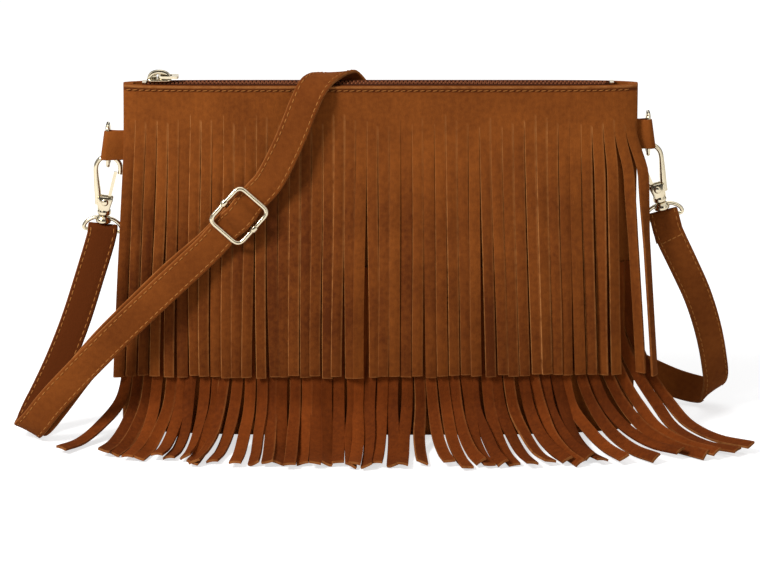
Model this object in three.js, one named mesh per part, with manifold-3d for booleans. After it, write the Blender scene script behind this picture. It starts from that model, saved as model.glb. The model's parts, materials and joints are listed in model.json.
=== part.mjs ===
// A zipped suede shoulder pouch with two tiers of cut fringe and a clip-on adjustable strap.
// Millimetres, +Z up. The origin is the middle of the pouch's base, and the fringed front faces -Y.

import * as THREE from 'three';
import { mergeVertices } from 'three/addons/utils/BufferGeometryUtils.js';
import Module from 'manifold-3d';

// Clearances
const touchGap = 0.3; // between pieces that lie against each other
const turnGap = 0.4; // round a pin, post or wire that turns
const strapGap = 0.35; // between the strap and a wire it is wound on

// Pouch
const pouchWidth = 260;
const pouchHeight = 180;
const suedeThickness = 1.4;
const baseDepth = 38;
const bellyDepth = 46;
const bellyHeight = 60;
const seamDepth = 4.4; // both panels pressed together at a side seam
const sideSeam = 5; // sewn margin at each side
const baseRound = 5;
const bellyBulge = 4; // how squarely the belly fills out towards its side seams
const mouthBulge = 8;
const swellPower = 2 / 3; // how roundly a panel swells from its seams
const liningThickness = 0.5;
const liningDrop = 12; // lining's edge below the mouth
const liningTop = pouchHeight - liningDrop;

// Fringe
const fringeThickness = 1.3;
const upperFringeEnd = 34; // height of the upper tier's cut ends
const lowerFringeTop = 90; // height of the lower tier's sewn edge
const fringeMargin = 0.6; // fringe panel inside the pouch's side edges
const floorBend = 12; // inner radius where the lower tier turns onto the floor
const middleReach = 76; // how far forward the lower tier's tips lie, in the middle
const sideReach = 51; // and at the two sides
const leftSplay = 32; // sideways spread of the outermost tips
const rightSplay = 55;
const splayPower = 3; // how much more the outer strips splay than the middle ones
const liftStart = 2; // the upper tier eases out over the lower one's edge from this far above it
const liftMiddle = 10;
const liftEnd = 22;

// Zip
const teethRise = 1; // top of the teeth above the mouth
const teethTop = pouchHeight + teethRise;
const teethHeight = 2.2;
const teethWidth = 2.3; // one row
const teethSplit = 1.4; // open slit between the two rows
const tapeShow = 3.1; // tape between a row of teeth and the mouth's rim
const mouthDepth = 2 * (teethSplit / 2 + teethWidth + tapeShow + suedeThickness);
const teethMargin = 14; // between each end of the rows and a side of the pouch
const teethEnd = pouchWidth / 2 - teethMargin;
const tapeThickness = 0.8;
const stopLength = 2;
const sliderLength = 12.4;
const sliderPlate = 1.2;
const sliderLip = 0.9;
const sliderCorner = 2.4;
const lipFront = 2; // lips start this far inside the slider's ends
const lipBack = 1.5;
const wedgeStart = 1;
const wedgeLength = 2;
const bridgeLength = 12;
const bridgeRise = 4.6;
const bridgeThickness = 2.4;
const bridgeWidth = 2.4;
const pullLength = 9.8;
const pullWidth = 7;
const pullThickness = 1.2;
const pullTaper = 0.8; // narrow end as a share of the wide one
const pullCorner = 2;
const pullBar = 0.6; // radius of the end bar
const smallCorner = 0.5;

// Side tabs and D-rings
const tabHeight = 15;
const leftTabDrop = 32; // each tab's middle below the mouth
const rightTabDrop = 26;
const leftTabMiddle = pouchHeight - leftTabDrop;
const rightTabMiddle = pouchHeight - rightTabDrop;
const barReach = 6.2; // D-ring bar beyond the side seam
const ringWire = 1; // radius
const ringHalfHeight = 10.2; // middle of the wire
const ringCorner = 1.6;
const ringArm = 8; // straight arms before the round end
const ringDepth = 13;
const ringDrop = 0.9; // the ring hangs low in its tab

// Snap hooks
const bowWire = 1.1; // radius
const bowRadius = 6.2; // middle of the wire
const bowTop = 31.6; // top of the bow above the hook's base
const hookHang = 1.6; // slack between the bow and the D-ring wire
const hookSetBack = 6.6; // hook plane behind the D-ring bar
const baseHeight = 9.8;
const baseHalfWidth = 4.6;
const baseThickness = 6.4;
const baseCorner = 1.4;
const baseTaper = 0.6; // narrower at its foot, at each side
const armSink = 4; // the bow's arm runs this far into the base
const armLean = 0.4;
const armInset = 0.5;
const armDrop = 5;
const noseDrop = 2.4; // the nose ends this far below the bow's centre
const rivetHeight = 7;
const rivetRadius = 1;
const rivetHead = 1.8;
const rivetHeadHeight = 0.6;
const gateSlot = 3.4;
const gateThickness = 1.5;
const gateBoss = 2.4;
const gateArm = 1.7;
const gateOverlap = 1.2; // gate's tip above the end of the nose
const gateMiddle = -0.6; // the gate lies to one side of its slot, the spring to the other
const springWire = 0.18; // radius
const springCoil = 1.75; // radius of a turn
const springTurns = 1.25;
const springPitch = 0.42;
const leftHookLean = 6; // degrees, top towards the pouch
const rightHookLean = 15;

// Swivel eyes
const postRadius = 1.2;
const headRadius = 2.1;
const headBottom = 1.6;
const headTop = 3;
const capRadius = 3.2;
const capDrop = 2.6;
const capEdge = 0.3; // bevel at the cap's top
const capWall = 0.8;
const capTaper = 0.9;
const shoulderRise = 0.4; // the eye's wire starts this far up inside the cap
const shoulderDrop = 1.2;
const eyeCorner = 1.4;
const eyeWire = 1; // radius
const eyeBarDrop = 8.2; // eye's bar below the hook's base
const eyeSideGap = 1.1; // between the strap's edge and the eye's side wire

// Strap and buckle
const strapWidth = 15;
const strapThickness = 2.2;
const tailLength = 13; // sewn-back end at the right eye
const tailTuck = 0.9; // how far the sewn-back end lies in towards the strap
const eyeLead = 1.5; // straight strap below an eye's bar
const eyeRun = 7;
const layerGap = 0.45; // between the strap's doubled layers
const buckleWire = 1.1; // radius
const buckleLength = 22.8; // middle of wire to middle of wire, along the strap
const buckleSideGap = 1.3; // between the strap's edge and the frame's side wire
const buckleCorner = 4;
const barRadius = 1.1;
const barDrop = 2.6; // bar below the frame's plane
const barLoopLength = 3.2;
const barLoopWall = 0.7;
const barLead = 6.5; // straight strap under the bar
const buckleMiddle = new THREE.Vector3(-69.5, -27, 118);
const buckleRun = new THREE.Vector3(-0.67, -0.09, -0.74).normalize(); // down along the strap

// Strap route: points of its middle line, each with the direction across it.
// From under the right eye round behind the pouch and over the mouth to the buckle.
const rightRoute = [
  { at: [149, 3.4, 98], across: [0.93, 0.1, 0.35] },
  { at: [156, 6, 83], across: [0.91, 0.22, 0.35] },
  { at: [163, 10, 67], across: [0.88, 0.33, 0.33] },
  { at: [169, 16, 48], across: [0.87, 0.38, 0.32] },
  { at: [173, 24, 29], across: [0.86, 0.4, 0.33] },
  { at: [174.5, 31, 15], across: [0.85, 0.35, 0.4] },
  { at: [172, 38, 8], across: [0.8, 0.28, 0.53] },
  { at: [165.5, 42.5, 7.6], across: [0.66, 0.28, 0.7] },
  { at: [156, 45, 9.6], across: [0.52, 0.3, 0.8] },
  { at: [144, 46, 14.5], across: [0.44, 0.33, 0.84] },
  { at: [131, 45.5, 21.5], across: [0.45, 0.3, 0.84] },
  { at: [112, 41.5, 36], across: [0.55, 0.2, 0.81] },
  { at: [90, 34.5, 57], across: [0.65, 0.12, 0.75] },
  { at: [68, 28.5, 82], across: [0.73, 0.05, 0.68] },
  { at: [46, 24, 107], across: [0.76, 0, 0.65] },
  { at: [23, 19.8, 133], across: [0.78, 0, 0.62] },
  { at: [4.5, 15.8, 155], across: [0.8, 0, 0.6] },
  { at: [-9, 12.6, 171], across: [0.81, -0.12, 0.57] },
  { at: [-16.2, 11.4, 180.4], across: [0.81, -0.36, 0.45] },
  { at: [-20.6, 6, 183.3], across: [0.81, -0.53, 0.2] },
  { at: [-24.6, 0, 183.8], across: [0.81, -0.59, 0] },
  { at: [-28.6, -6.4, 183.5], across: [0.81, -0.53, -0.2] },
  { at: [-32.6, -12.7, 180.7], across: [0.81, -0.36, -0.45] },
  { at: [-36.8, -16.4, 172.8], across: [0.81, -0.15, -0.55] },
  { at: [-41.6, -19, 161], across: [0.81, -0.02, -0.58] },
  { at: [-47.6, -22.8, 148], across: [0.79, 0, -0.61] },
];
// From the buckle down to the floor at the left and up behind the left eye.
const leftRoute = [
  { at: [-100, -30.5, 87.5], across: [0.71, 0, -0.7] },
  { at: [-118, -31.5, 70.5], across: [0.7, 0, -0.71] },
  { at: [-136, -32.5, 53], across: [0.71, 0, -0.7] },
  { at: [-152, -32.5, 36.5], across: [0.74, -0.05, -0.66] },
  { at: [-165, -31.5, 22], across: [0.79, -0.15, -0.58] },
  { at: [-173.5, -28.5, 10.5], across: [0.84, -0.27, -0.46] },
  { at: [-177.2, -22.8, 5.6], across: [0.87, -0.34, -0.36] },
  { at: [-177.4, -16, 5.4], across: [0.88, -0.34, -0.34] },
  { at: [-174.5, -11, 10], across: [0.9, -0.28, -0.33] },
  { at: [-169, -8, 21], across: [0.92, -0.18, -0.32] },
  { at: [-162, -5.3, 36], across: [0.94, -0.1, -0.31] },
  { at: [-154, -2, 56], across: [0.95, -0.05, -0.29] },
  { at: [-146.8, 2.8, 78], across: [0.97, 0, -0.22] },
];

// Faceting
const wireSides = 8;
const wireSteps = 44; // round a closed wire
const bowSteps = 26;
const springSteps = 12; // for one turn
const curveSteps = 4;
const turnedSides = 16;
const smallTurnedSides = 12;
const pouchColumns = 14; // along one side of a pouch ring
const sideShares = [13 / 54, 25 / 54, 2 / 3, 5 / 6]; // of the height between the belly and the lining's edge
const levelAbove = (share) => bellyHeight + share * (liningTop - bellyHeight);
const baseLevel = 26;
// Heights of the pouch's rings
const sideLevels = [baseLevel, bellyHeight, ...sideShares.map(levelAbove), liningTop];
const roundShares = [0, 0.3, 1]; // rings up the base's rounding
const fringeLevels = [47, bellyHeight, 74, 86]; // heights where both tiers have a row
const bendDegrees = [30, 60, 90];
const runShares = [0.33, 0.67, 1]; // rows along the floor
const tapeShares = [-1, -0.94, -0.8, -0.4, 0.4, 0.8, 0.94, 1];
const wrapDegrees = [0, 45, 90, 135, 180]; // strap points round a bar
const rowsPerPoint = 2; // strap rows for each route point

const wasm = await Module();
wasm.setup();

const suede = new THREE.MeshStandardMaterial({ color: 0x84461d, roughness: 0.95, metalness: 0 });
const darkSuede = new THREE.MeshStandardMaterial({ color: 0x6a3211, roughness: 0.95, metalness: 0 });
const lining = new THREE.MeshStandardMaterial({ color: 0x4a2a18, roughness: 0.8, metalness: 0 });
const tapeCloth = new THREE.MeshStandardMaterial({ color: 0x4b2a1c, roughness: 0.85, metalness: 0 });
const toothPlastic = new THREE.MeshStandardMaterial({ color: 0x52301f, roughness: 0.5, metalness: 0 });
const paleGold = new THREE.MeshStandardMaterial({ color: 0xd9cba4, roughness: 0.2, metalness: 1 });

const bag = new THREE.Group();

// Geometry helpers

function vector(point) {
  return new THREE.Vector3(...point);
}

// Only positions, shared vertices merged and collapsed triangles dropped.
function welded(geometry) {
  const bare = geometry.clone();
  Object.keys(bare.attributes)
    .filter((name) => name !== 'position')
    .forEach((name) => bare.deleteAttribute(name));
  const merged = mergeVertices(bare, 1e-4);
  const corners = merged.index.array;
  const kept = [];
  for (let i = 0; i < corners.length; i += 3) {
    const [a, b, c] = corners.slice(i, i + 3);
    if (a !== b && b !== c && c !== a) {
      kept.push(a, b, c);
    }
  }
  merged.setIndex(kept);
  return merged;
}

// The same surface with its faces pointing out.
function outward(geometry) {
  const shell = welded(geometry);
  const corners = [...shell.index.array];
  const point = (i) => new THREE.Vector3().fromBufferAttribute(shell.attributes.position, i);
  let volume = 0;
  for (let i = 0; i < corners.length; i += 3) {
    const [a, b, c] = corners.slice(i, i + 3).map(point);
    volume += a.dot(b.cross(c));
  }
  shell.setIndex(volume < 0 ? corners.reverse() : corners);
  shell.computeVertexNormals();
  return shell;
}

function solid(geometry) {
  const shell = outward(geometry);
  return new wasm.Manifold(
    new wasm.Mesh({
      numProp: 3,
      vertProperties: new Float32Array(shell.attributes.position.array),
      triVerts: new Uint32Array(shell.index.array),
    }),
  );
}

function surface(manifold) {
  const mesh = manifold.getMesh();
  const geometry = new THREE.BufferGeometry();
  geometry.setAttribute('position', new THREE.BufferAttribute(new Float32Array(mesh.vertProperties), 3));
  geometry.setIndex([...mesh.triVerts]);
  return geometry;
}

function joined(...geometries) {
  return surface(geometries.map(solid).reduce((whole, piece) => whole.add(piece)));
}

function cut(geometry, ...tools) {
  return surface(tools.map(solid).reduce((rest, tool) => rest.subtract(tool), solid(geometry)));
}

function indexed(points, corners) {
  const geometry = new THREE.BufferGeometry().setFromPoints(points);
  geometry.setIndex(corners);
  return geometry;
}

// A closed sheet between two matching grids of points.
function sheet(outer, inner) {
  const rows = outer.length;
  const columns = outer[0].length;
  const corners = [];
  const at = (face, row, column) => (face * rows + row) * columns + column;
  const quad = (a, b, c, d) => corners.push(a, b, c, a, c, d);
  for (let r = 0; r < rows - 1; r++) {
    for (let c = 0; c < columns - 1; c++) {
      quad(at(0, r, c), at(0, r + 1, c), at(0, r + 1, c + 1), at(0, r, c + 1));
      quad(at(1, r, c), at(1, r, c + 1), at(1, r + 1, c + 1), at(1, r + 1, c));
    }
  }
  const lastRow = rows - 1;
  const lastColumn = columns - 1;
  for (let r = 0; r < lastRow; r++) {
    quad(at(0, r, 0), at(1, r, 0), at(1, r + 1, 0), at(0, r + 1, 0));
    quad(at(0, r, lastColumn), at(0, r + 1, lastColumn), at(1, r + 1, lastColumn), at(1, r, lastColumn));
  }
  for (let c = 0; c < lastColumn; c++) {
    quad(at(0, 0, c), at(0, 0, c + 1), at(1, 0, c + 1), at(1, 0, c));
    quad(at(0, lastRow, c), at(1, lastRow, c), at(1, lastRow, c + 1), at(0, lastRow, c + 1));
  }
  return indexed([...outer.flat(), ...inner.flat()], corners);
}

// A skin through matching closed rings, shut at both ends. Ring points mirror each other front to back.
// Its quads are split along the same diagonal on the way up and on the way down, so nested skins stay apart.
function stacked(rings) {
  const count = rings[0].length;
  const corners = [];
  for (let i = 0; i < rings.length - 1; i++) {
    for (let j = 0; j < count; j++) {
      const a = i * count + j;
      const b = i * count + ((j + 1) % count);
      if (rings[i + 1][0].z < rings[i][0].z) {
        corners.push(a, b, a + count, b, b + count, a + count);
      } else {
        corners.push(a, b, b + count, a, b + count, a + count);
      }
    }
  }
  const last = (rings.length - 1) * count;
  for (let j = 0; j < count / 2; j++) {
    const near = [j, j + 1];
    const far = [(count - j) % count, count - j - 1];
    corners.push(near[0], far[1], near[1], near[0], far[0], far[1]);
    corners.push(last + near[0], last + near[1], last + far[1]);
    corners.push(last + near[0], last + far[1], last + far[0]);
  }
  return indexed(rings.flat(), corners);
}

function round(radius) {
  return new THREE.Shape().absarc(0, 0, radius, 0, 2 * Math.PI);
}

// An outline with each corner rounded.
function roundedOutline(corners, radius) {
  const shape = new THREE.Shape();
  corners.forEach(([x, y], i) => {
    const corner = new THREE.Vector2(x, y);
    const towards = (other) => {
      const way = new THREE.Vector2(...other).sub(corner);
      return corner.clone().add(way.setLength(Math.min(radius, way.length() / 2)));
    };
    const before = towards(corners[(i + corners.length - 1) % corners.length]);
    const after = towards(corners[(i + 1) % corners.length]);
    if (i === 0) {
      shape.moveTo(before.x, before.y);
    } else {
      shape.lineTo(before.x, before.y);
    }
    shape.quadraticCurveTo(x, y, after.x, after.y);
  });
  shape.closePath();
  return shape;
}

// A flat outline drawn in X and Z, with its thickness along Y about the given middle.
function plate(shape, thickness, middle = 0, curveSegments = curveSteps) {
  const geometry = new THREE.ExtrudeGeometry(shape, { depth: thickness, bevelEnabled: false, curveSegments });
  geometry.rotateX(Math.PI / 2);
  geometry.translate(0, middle + thickness / 2, 0);
  return geometry;
}

function block(x, y, z) {
  const size = [x, y, z].map(([low, high]) => high - low);
  const middle = [x, y, z].map(([low, high]) => (low + high) / 2);
  return new THREE.BoxGeometry(...size).translate(...middle);
}

// A bent wire along a curve, closed on itself or with two flat ends.
function wire(curve, radius, steps) {
  if (curve.closed) {
    return new THREE.TubeGeometry(curve, steps, radius, wireSides, true);
  }
  const section = { steps, extrudePath: curve, curveSegments: wireSides / 2 };
  return new THREE.ExtrudeGeometry(round(radius), section);
}

// The middle line of a closed wire, from a rounded outline and a placing of its points.
function closedLine(corners, radius, steps, place) {
  const points = roundedOutline(corners, radius).getSpacedPoints(steps);
  return new THREE.CatmullRomCurve3(points.slice(0, -1).map(place), true);
}

function turned(profile, segments = turnedSides) {
  const points = profile.map(([radius, height]) => new THREE.Vector2(radius, height));
  return new THREE.LatheGeometry(points, segments).rotateX(Math.PI / 2);
}

function smooth(from, to, value) {
  return THREE.MathUtils.smoothstep(value, from, to);
}

function add(name, geometry, material, parent = bag) {
  const mesh = new THREE.Mesh(outward(geometry), material);
  mesh.name = name;
  parent.add(mesh);
  return mesh;
}

// Pouch

const halfWidth = pouchWidth / 2;

function pouchDepth(z) {
  if (z < bellyHeight) {
    return THREE.MathUtils.lerp(baseDepth, bellyDepth, Math.sin((Math.PI / 2) * (z / bellyHeight)));
  }
  const up = (z - bellyHeight) / (pouchHeight - bellyHeight);
  return THREE.MathUtils.lerp(bellyDepth, mouthDepth, (1 - Math.cos(Math.PI * up)) / 2);
}

// Distance from the middle plane to the front or back panel.
function panelAt(x, z) {
  const bulge = THREE.MathUtils.lerp(bellyBulge, mouthBulge, smooth(bellyHeight, pouchHeight, z));
  const fullness = Math.pow(Math.max(0, 1 - Math.pow(Math.abs(x) / halfWidth, bulge)), swellPower);
  return seamDepth / 2 + (pouchDepth(z) / 2 - seamDepth / 2) * fullness;
}

function baseInset(rise) {
  return rise < baseRound ? baseRound - Math.sqrt(baseRound ** 2 - (baseRound - rise) ** 2) : 0;
}

// One level of the pouch or lining, set in from the outer skin at the panels and at the side seams.
function pouchRing(z, panelInset, seamInset, rise) {
  const inset = panelInset + baseInset(rise);
  const spread = 1 - (seamInset + baseInset(rise)) / halfWidth;
  const thin = 1 - inset / (pouchDepth(z) / 2);
  const ring = [];
  for (let i = 0; i < 2 * pouchColumns; i++) {
    const angle = (Math.PI * i) / pouchColumns;
    const x = halfWidth * Math.cos(angle);
    const side = i % pouchColumns === 0 ? 0 : -Math.sign(Math.sin(angle));
    const seam = side === 0 ? 0 : panelAt(x, z) * thin * side;
    ring.push(new THREE.Vector3(x * spread, seam, z));
  }
  return ring;
}

// Heights of the rings from a rounded base up to a rim.
function levelsBetween(bottom, top) {
  const low = roundShares.map((share) => bottom + share * baseRound);
  return [...low, ...sideLevels.filter((z) => z < top), top];
}

function shellOf(top, wall, outer) {
  const bottom = outer.bottom;
  const inner = bottom + wall;
  const outside = levelsBetween(bottom, top);
  const inside = levelsBetween(inner, top).reverse();
  const rings = outside.map((z) => pouchRing(z, outer.panel, outer.seam, z - bottom));
  const innerSeam = outer.seam + outer.seamWall;
  rings.push(...inside.map((z) => pouchRing(z, outer.panel + wall, innerSeam, z - inner)));
  return stacked(rings);
}

const pouchShell = { bottom: 0, panel: 0, seam: 0, seamWall: sideSeam };
add('pouch_body', shellOf(pouchHeight, suedeThickness, pouchShell), suede);

const liningShell = {
  bottom: suedeThickness + touchGap,
  panel: suedeThickness + touchGap,
  seam: sideSeam + touchGap,
  seamWall: liningThickness,
};
add('lining', shellOf(liningTop, liningThickness, liningShell), lining);

// Fringe panels

const fringeHalf = halfWidth - fringeMargin;

// A row of points on the pouch's own columns. Rows are listed from the bottom up, as the pouch's rings are.
function acrossFringe(make) {
  return Array.from({ length: pouchColumns + 1 }, (_, i) => {
    const x = halfWidth * Math.cos((Math.PI * i) / pouchColumns);
    return make(THREE.MathUtils.clamp(x, -fringeHalf, fringeHalf));
  });
}

function upperFringe() {
  const overLower = fringeThickness + touchGap;
  const liftLevel = lowerFringeTop + liftMiddle;
  const above = sideLevels.filter((z) => z > liftLevel);
  const heights = [upperFringeEnd, ...fringeLevels, lowerFringeTop, liftLevel, ...above, pouchHeight];
  const face = (proud) => (z) => {
    const lift = overLower * (1 - smooth(lowerFringeTop + liftStart, lowerFringeTop + liftEnd, z));
    return acrossFringe((x) => new THREE.Vector3(x, -(panelAt(x, z) + touchGap + lift + proud), z));
  };
  return sheet(heights.map(face(fringeThickness)), heights.map(face(0)));
}
add('upper_fringe', upperFringe(), suede);

function splayShare(x) {
  return Math.pow(Math.abs(x) / fringeHalf, splayPower);
}

// The lower tier hangs down the panel, bends forward onto the floor and splays to both sides.
function lowerFringe() {
  const outerBend = floorBend + fringeThickness;
  const bendTop = outerBend + touchGap;
  const shape = (proud) => {
    const levels = [lowerFringeTop, ...fringeLevels.toReversed(), upperFringeEnd - touchGap, bendTop];
    const hang = levels.map((z) => (x) => [x, -(panelAt(x, z) + touchGap + proud), z]);
    const bendMiddle = (x) => -(panelAt(x, bendTop) + touchGap + outerBend);
    const bend = bendDegrees.map((degrees) => (x) => {
      const angle = THREE.MathUtils.degToRad(degrees);
      const radius = outerBend - proud;
      return [x, bendMiddle(x) + radius * Math.cos(angle), bendTop - radius * Math.sin(angle)];
    });
    const run = runShares.map((along) => (x) => {
      const tip = -THREE.MathUtils.lerp(middleReach, sideReach, splayShare(x));
      return [x, THREE.MathUtils.lerp(bendMiddle(x), tip, along), touchGap + proud];
    });
    const rows = [...hang, ...bend, ...run];
    const splayed = rows.map((row, i) => {
      const fallen = smooth(hang.length - 2, rows.length - 1, i);
      return acrossFringe((x) => {
        const [, y, z] = row(x);
        const splay = (x < 0 ? leftSplay : rightSplay) * splayShare(x) * fallen;
        return new THREE.Vector3(x + Math.sign(x) * splay, y, z);
      });
    });
    return splayed.reverse();
  };
  return sheet(shape(fringeThickness), shape(0));
}
add('lower_fringe', lowerFringe(), darkSuede);

// Zip

const teethMiddle = teethTop - teethHeight / 2;
const teethInner = teethSplit / 2;
const teethOuter = teethInner + teethWidth;
const tapeLow = teethMiddle - tapeThickness / 2;
const tapeHigh = teethMiddle + tapeThickness / 2;
const tapeEnd = teethEnd + touchGap + stopLength;

// Distance from the middle plane to the inside of the mouth's rim, straight between the pouch's columns.
function mouthWall(x) {
  const innerHalf = halfWidth - sideSeam;
  const thin = 1 - suedeThickness / (mouthDepth / 2);
  const corner = (i) => {
    const share = Math.cos((Math.PI * i) / pouchColumns);
    return { x: innerHalf * share, y: panelAt(halfWidth * share, pouchHeight) * thin };
  };
  const column = Math.floor((pouchColumns * Math.acos(Math.abs(x) / innerHalf)) / Math.PI);
  const near = corner(column);
  const far = corner(column + 1);
  return THREE.MathUtils.mapLinear(Math.abs(x), near.x, far.x, near.y, far.y);
}

function zipTape(side) {
  const stations = tapeShares.map((share) => share * tapeEnd);
  const face = (z) => stations.map((x) => {
    const edges = [teethOuter + touchGap, mouthWall(x) - touchGap];
    return edges.map((y) => new THREE.Vector3(x, side * y, z));
  });
  return sheet(face(tapeHigh), face(tapeLow));
}

const zipSides = { front: -1, back: 1 };
for (const [name, side] of Object.entries(zipSides)) {
  add(`zip_tape_${name}`, zipTape(side), tapeCloth);
  const edges = [side * teethInner, side * teethOuter].sort((a, b) => a - b);
  const row = block([-teethEnd, teethEnd], edges, [teethTop - teethHeight, teethTop]);
  add(`zip_teeth_${name}`, row, toothPlastic);
}

const stopEnds = { left: -1, right: 1 };
for (const [name, side] of Object.entries(stopEnds)) {
  const near = teethEnd + touchGap;
  const ends = [side * near, side * (near + stopLength)].sort((a, b) => a - b);
  const stop = block(ends, [-teethOuter, teethOuter], [teethTop - teethHeight, teethTop]);
  add(`zip_stop_${name}`, stop, paleGold);
}

// Slider: two plates with side lips, a wedge post between the rows and a bridge for the pull.
const channelTop = teethTop + touchGap;
const channelBottom = teethTop - teethHeight - touchGap;
const plateTop = channelTop + sliderPlate;
const sliderHalf = teethOuter + touchGap + sliderLip;
const sliderEnd = sliderLength / 2;
const sliderAt = -(teethEnd - sliderEnd);

function sliderBody() {
  const outline = roundedOutline(
    [
      [-sliderEnd, -sliderHalf],
      [sliderEnd, -sliderHalf],
      [sliderEnd, sliderHalf],
      [-sliderEnd, sliderHalf],
    ],
    sliderCorner,
  );
  const flat = (low, high) => {
    const form = { depth: high - low, bevelEnabled: false, curveSegments: curveSteps };
    return new THREE.ExtrudeGeometry(outline, form).translate(0, 0, low);
  };
  const lip = (side, z) => {
    const edges = [side * (sliderHalf - sliderLip), side * sliderHalf].sort((a, b) => a - b);
    return block([-sliderEnd + lipFront, sliderEnd - lipBack], edges, z);
  };
  const sink = 0.2; // lips, post and bridge run a little into the plates
  const post = teethInner - touchGap;
  const wedge = [wedgeStart - sliderEnd, wedgeStart + wedgeLength - sliderEnd];
  const pieces = [
    flat(channelTop, plateTop),
    flat(channelBottom - sliderPlate, channelBottom),
    block(wedge, [-post, post], [channelBottom - sink, channelTop + sink]),
  ];
  for (const side of [-1, 1]) {
    pieces.push(lip(side, [tapeHigh + touchGap, channelTop + sink]));
    pieces.push(lip(side, [channelBottom - sink, tapeLow - touchGap]));
  }
  const arch = new THREE.Shape();
  arch.absellipse(0, plateTop - sink, bridgeLength / 2, bridgeRise, 0, Math.PI);
  const innerLength = bridgeLength / 2 - bridgeThickness;
  arch.absellipse(0, plateTop - sink, innerLength, bridgeRise - bridgeThickness, Math.PI, 0, true);
  pieces.push(plate(arch, bridgeWidth));
  return joined(...pieces);
}

// Pull: a small rounded tongue whose end bar lies under the slider's bridge.
const pullAxis = plateTop + touchGap + pullThickness / 2;
function pullTongue() {
  const half = pullWidth / 2;
  const outline = roundedOutline(
    [
      [-pullBar, -half * pullTaper],
      [pullLength, -half],
      [pullLength, half],
      [-pullBar, half * pullTaper],
    ],
    pullCorner,
  );
  const gap = bridgeWidth / 2 + turnGap;
  const reach = bridgeLength / 2 + turnGap;
  const eye = roundedOutline([[pullBar, -gap], [reach, -gap], [reach, gap], [pullBar, gap]], smallCorner);
  outline.holes.push(eye);
  const form = { depth: pullThickness, bevelEnabled: false, curveSegments: curveSteps };
  return new THREE.ExtrudeGeometry(outline, form).translate(0, 0, -pullThickness / 2);
}

const zipper = new THREE.Group();
zipper.position.x = sliderAt;
bag.add(zipper);
add('zip_slider', sliderBody(), paleGold, zipper);
add('zip_pull', pullTongue(), paleGold, zipper).position.z = pullAxis;

// Clips: a side tab, a D-ring, and a swivelling snap hook. The side is -1 at the left and 1 at the right.

const barAt = halfWidth + barReach;

function tab(side) {
  const wrap = ringWire + touchGap + suedeThickness;
  const root = halfWidth + touchGap;
  const shape = new THREE.Shape();
  shape.moveTo(root, -suedeThickness);
  shape.lineTo(barAt, -wrap);
  shape.absarc(barAt, 0, wrap, -Math.PI / 2, Math.PI / 2);
  shape.lineTo(root, suedeThickness);
  shape.closePath();
  shape.holes.push(new THREE.Path().absarc(barAt, 0, ringWire + touchGap, 0, 2 * Math.PI));
  const form = { depth: tabHeight, bevelEnabled: false, curveSegments: 2 * curveSteps };
  const loop = new THREE.ExtrudeGeometry(shape, form).translate(0, 0, -tabHeight / 2);
  return side < 0 ? loop.rotateZ(Math.PI) : loop;
}

function dRing() {
  const corners = [
    [0, -ringHalfHeight],
    [ringArm, -ringHalfHeight],
    [ringDepth, 0],
    [ringArm, ringHalfHeight],
    [0, ringHalfHeight],
  ];
  const line = closedLine(corners, ringCorner, wireSteps, (p) => new THREE.Vector3(0, p.x, p.y));
  return wire(line, ringWire, wireSteps);
}

// Hook parts stand on the hook's own frame: the swivel axis is Z, the base's underside is at 0.
const bowMiddle = bowTop - bowWire - bowRadius; // height of the bow's centre

function hookBody(side) {
  const armFoot = baseHalfWidth - bowWire;
  const points = [
    [side * armFoot, 0, baseHeight - armSink],
    [side * (armFoot + armLean), 0, baseHeight],
    [side * (bowRadius - armInset), 0, bowMiddle - armDrop],
  ];
  for (let degrees = 0; degrees <= 180; degrees += 30) {
    const angle = THREE.MathUtils.degToRad(degrees);
    points.push([side * bowRadius * Math.cos(angle), 0, bowMiddle + bowRadius * Math.sin(angle)]);
  }
  points.push([-side * bowRadius, 0, bowMiddle - noseDrop]);
  const bow = wire(new THREE.CatmullRomCurve3(points.map(vector)), bowWire, bowSteps);
  const outline = roundedOutline(
    [
      [-baseHalfWidth + baseTaper, 0],
      [baseHalfWidth - baseTaper, 0],
      [baseHalfWidth, baseHeight],
      [-baseHalfWidth, baseHeight],
    ],
    baseCorner,
  );
  const slotEdges = [-side * (baseHalfWidth + 1), side * (gateBoss + turnGap)].sort((a, b) => a - b);
  const slotFloor = rivetHeight - gateBoss - turnGap;
  const slot = block(slotEdges, [-gateSlot / 2, gateSlot / 2], [slotFloor, baseHeight + 1]);
  const hole = plate(round(rivetRadius + touchGap), baseThickness + 2).translate(0, 0, rivetHeight);
  const socket = turned([
    [0, -1],
    [postRadius + turnGap, -1],
    [postRadius + turnGap, headBottom - touchGap],
    [headRadius + turnGap, headBottom - touchGap],
    [headRadius + turnGap, headTop + touchGap],
    [0, headTop + touchGap],
  ]);
  return cut(joined(bow, plate(outline, baseThickness)), slot, hole, socket);
}

// The gate closes against the inside of the bow's nose and turns inwards about the rivet.
const gateFace = bowRadius - bowWire - touchGap;
function gate(side) {
  const tip = bowMiddle - noseDrop + gateOverlap;
  const outer = (height) => THREE.MathUtils.mapLinear(height, rivetHeight, tip, gateBoss, gateFace);
  const bar = roundedOutline(
    [
      [-side * outer(rivetHeight), rivetHeight],
      [-side * gateFace, tip],
      [-side * (gateFace - gateArm), tip],
      [-side * (outer(rivetHeight) - gateArm), rivetHeight],
    ],
    smallCorner,
  );
  const boss = plate(round(gateBoss), gateThickness, gateMiddle).translate(0, 0, rivetHeight);
  const lever = joined(plate(bar, gateThickness, gateMiddle), boss);
  return cut(lever, plate(round(rivetRadius + touchGap), baseThickness).translate(0, 0, rivetHeight));
}

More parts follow.
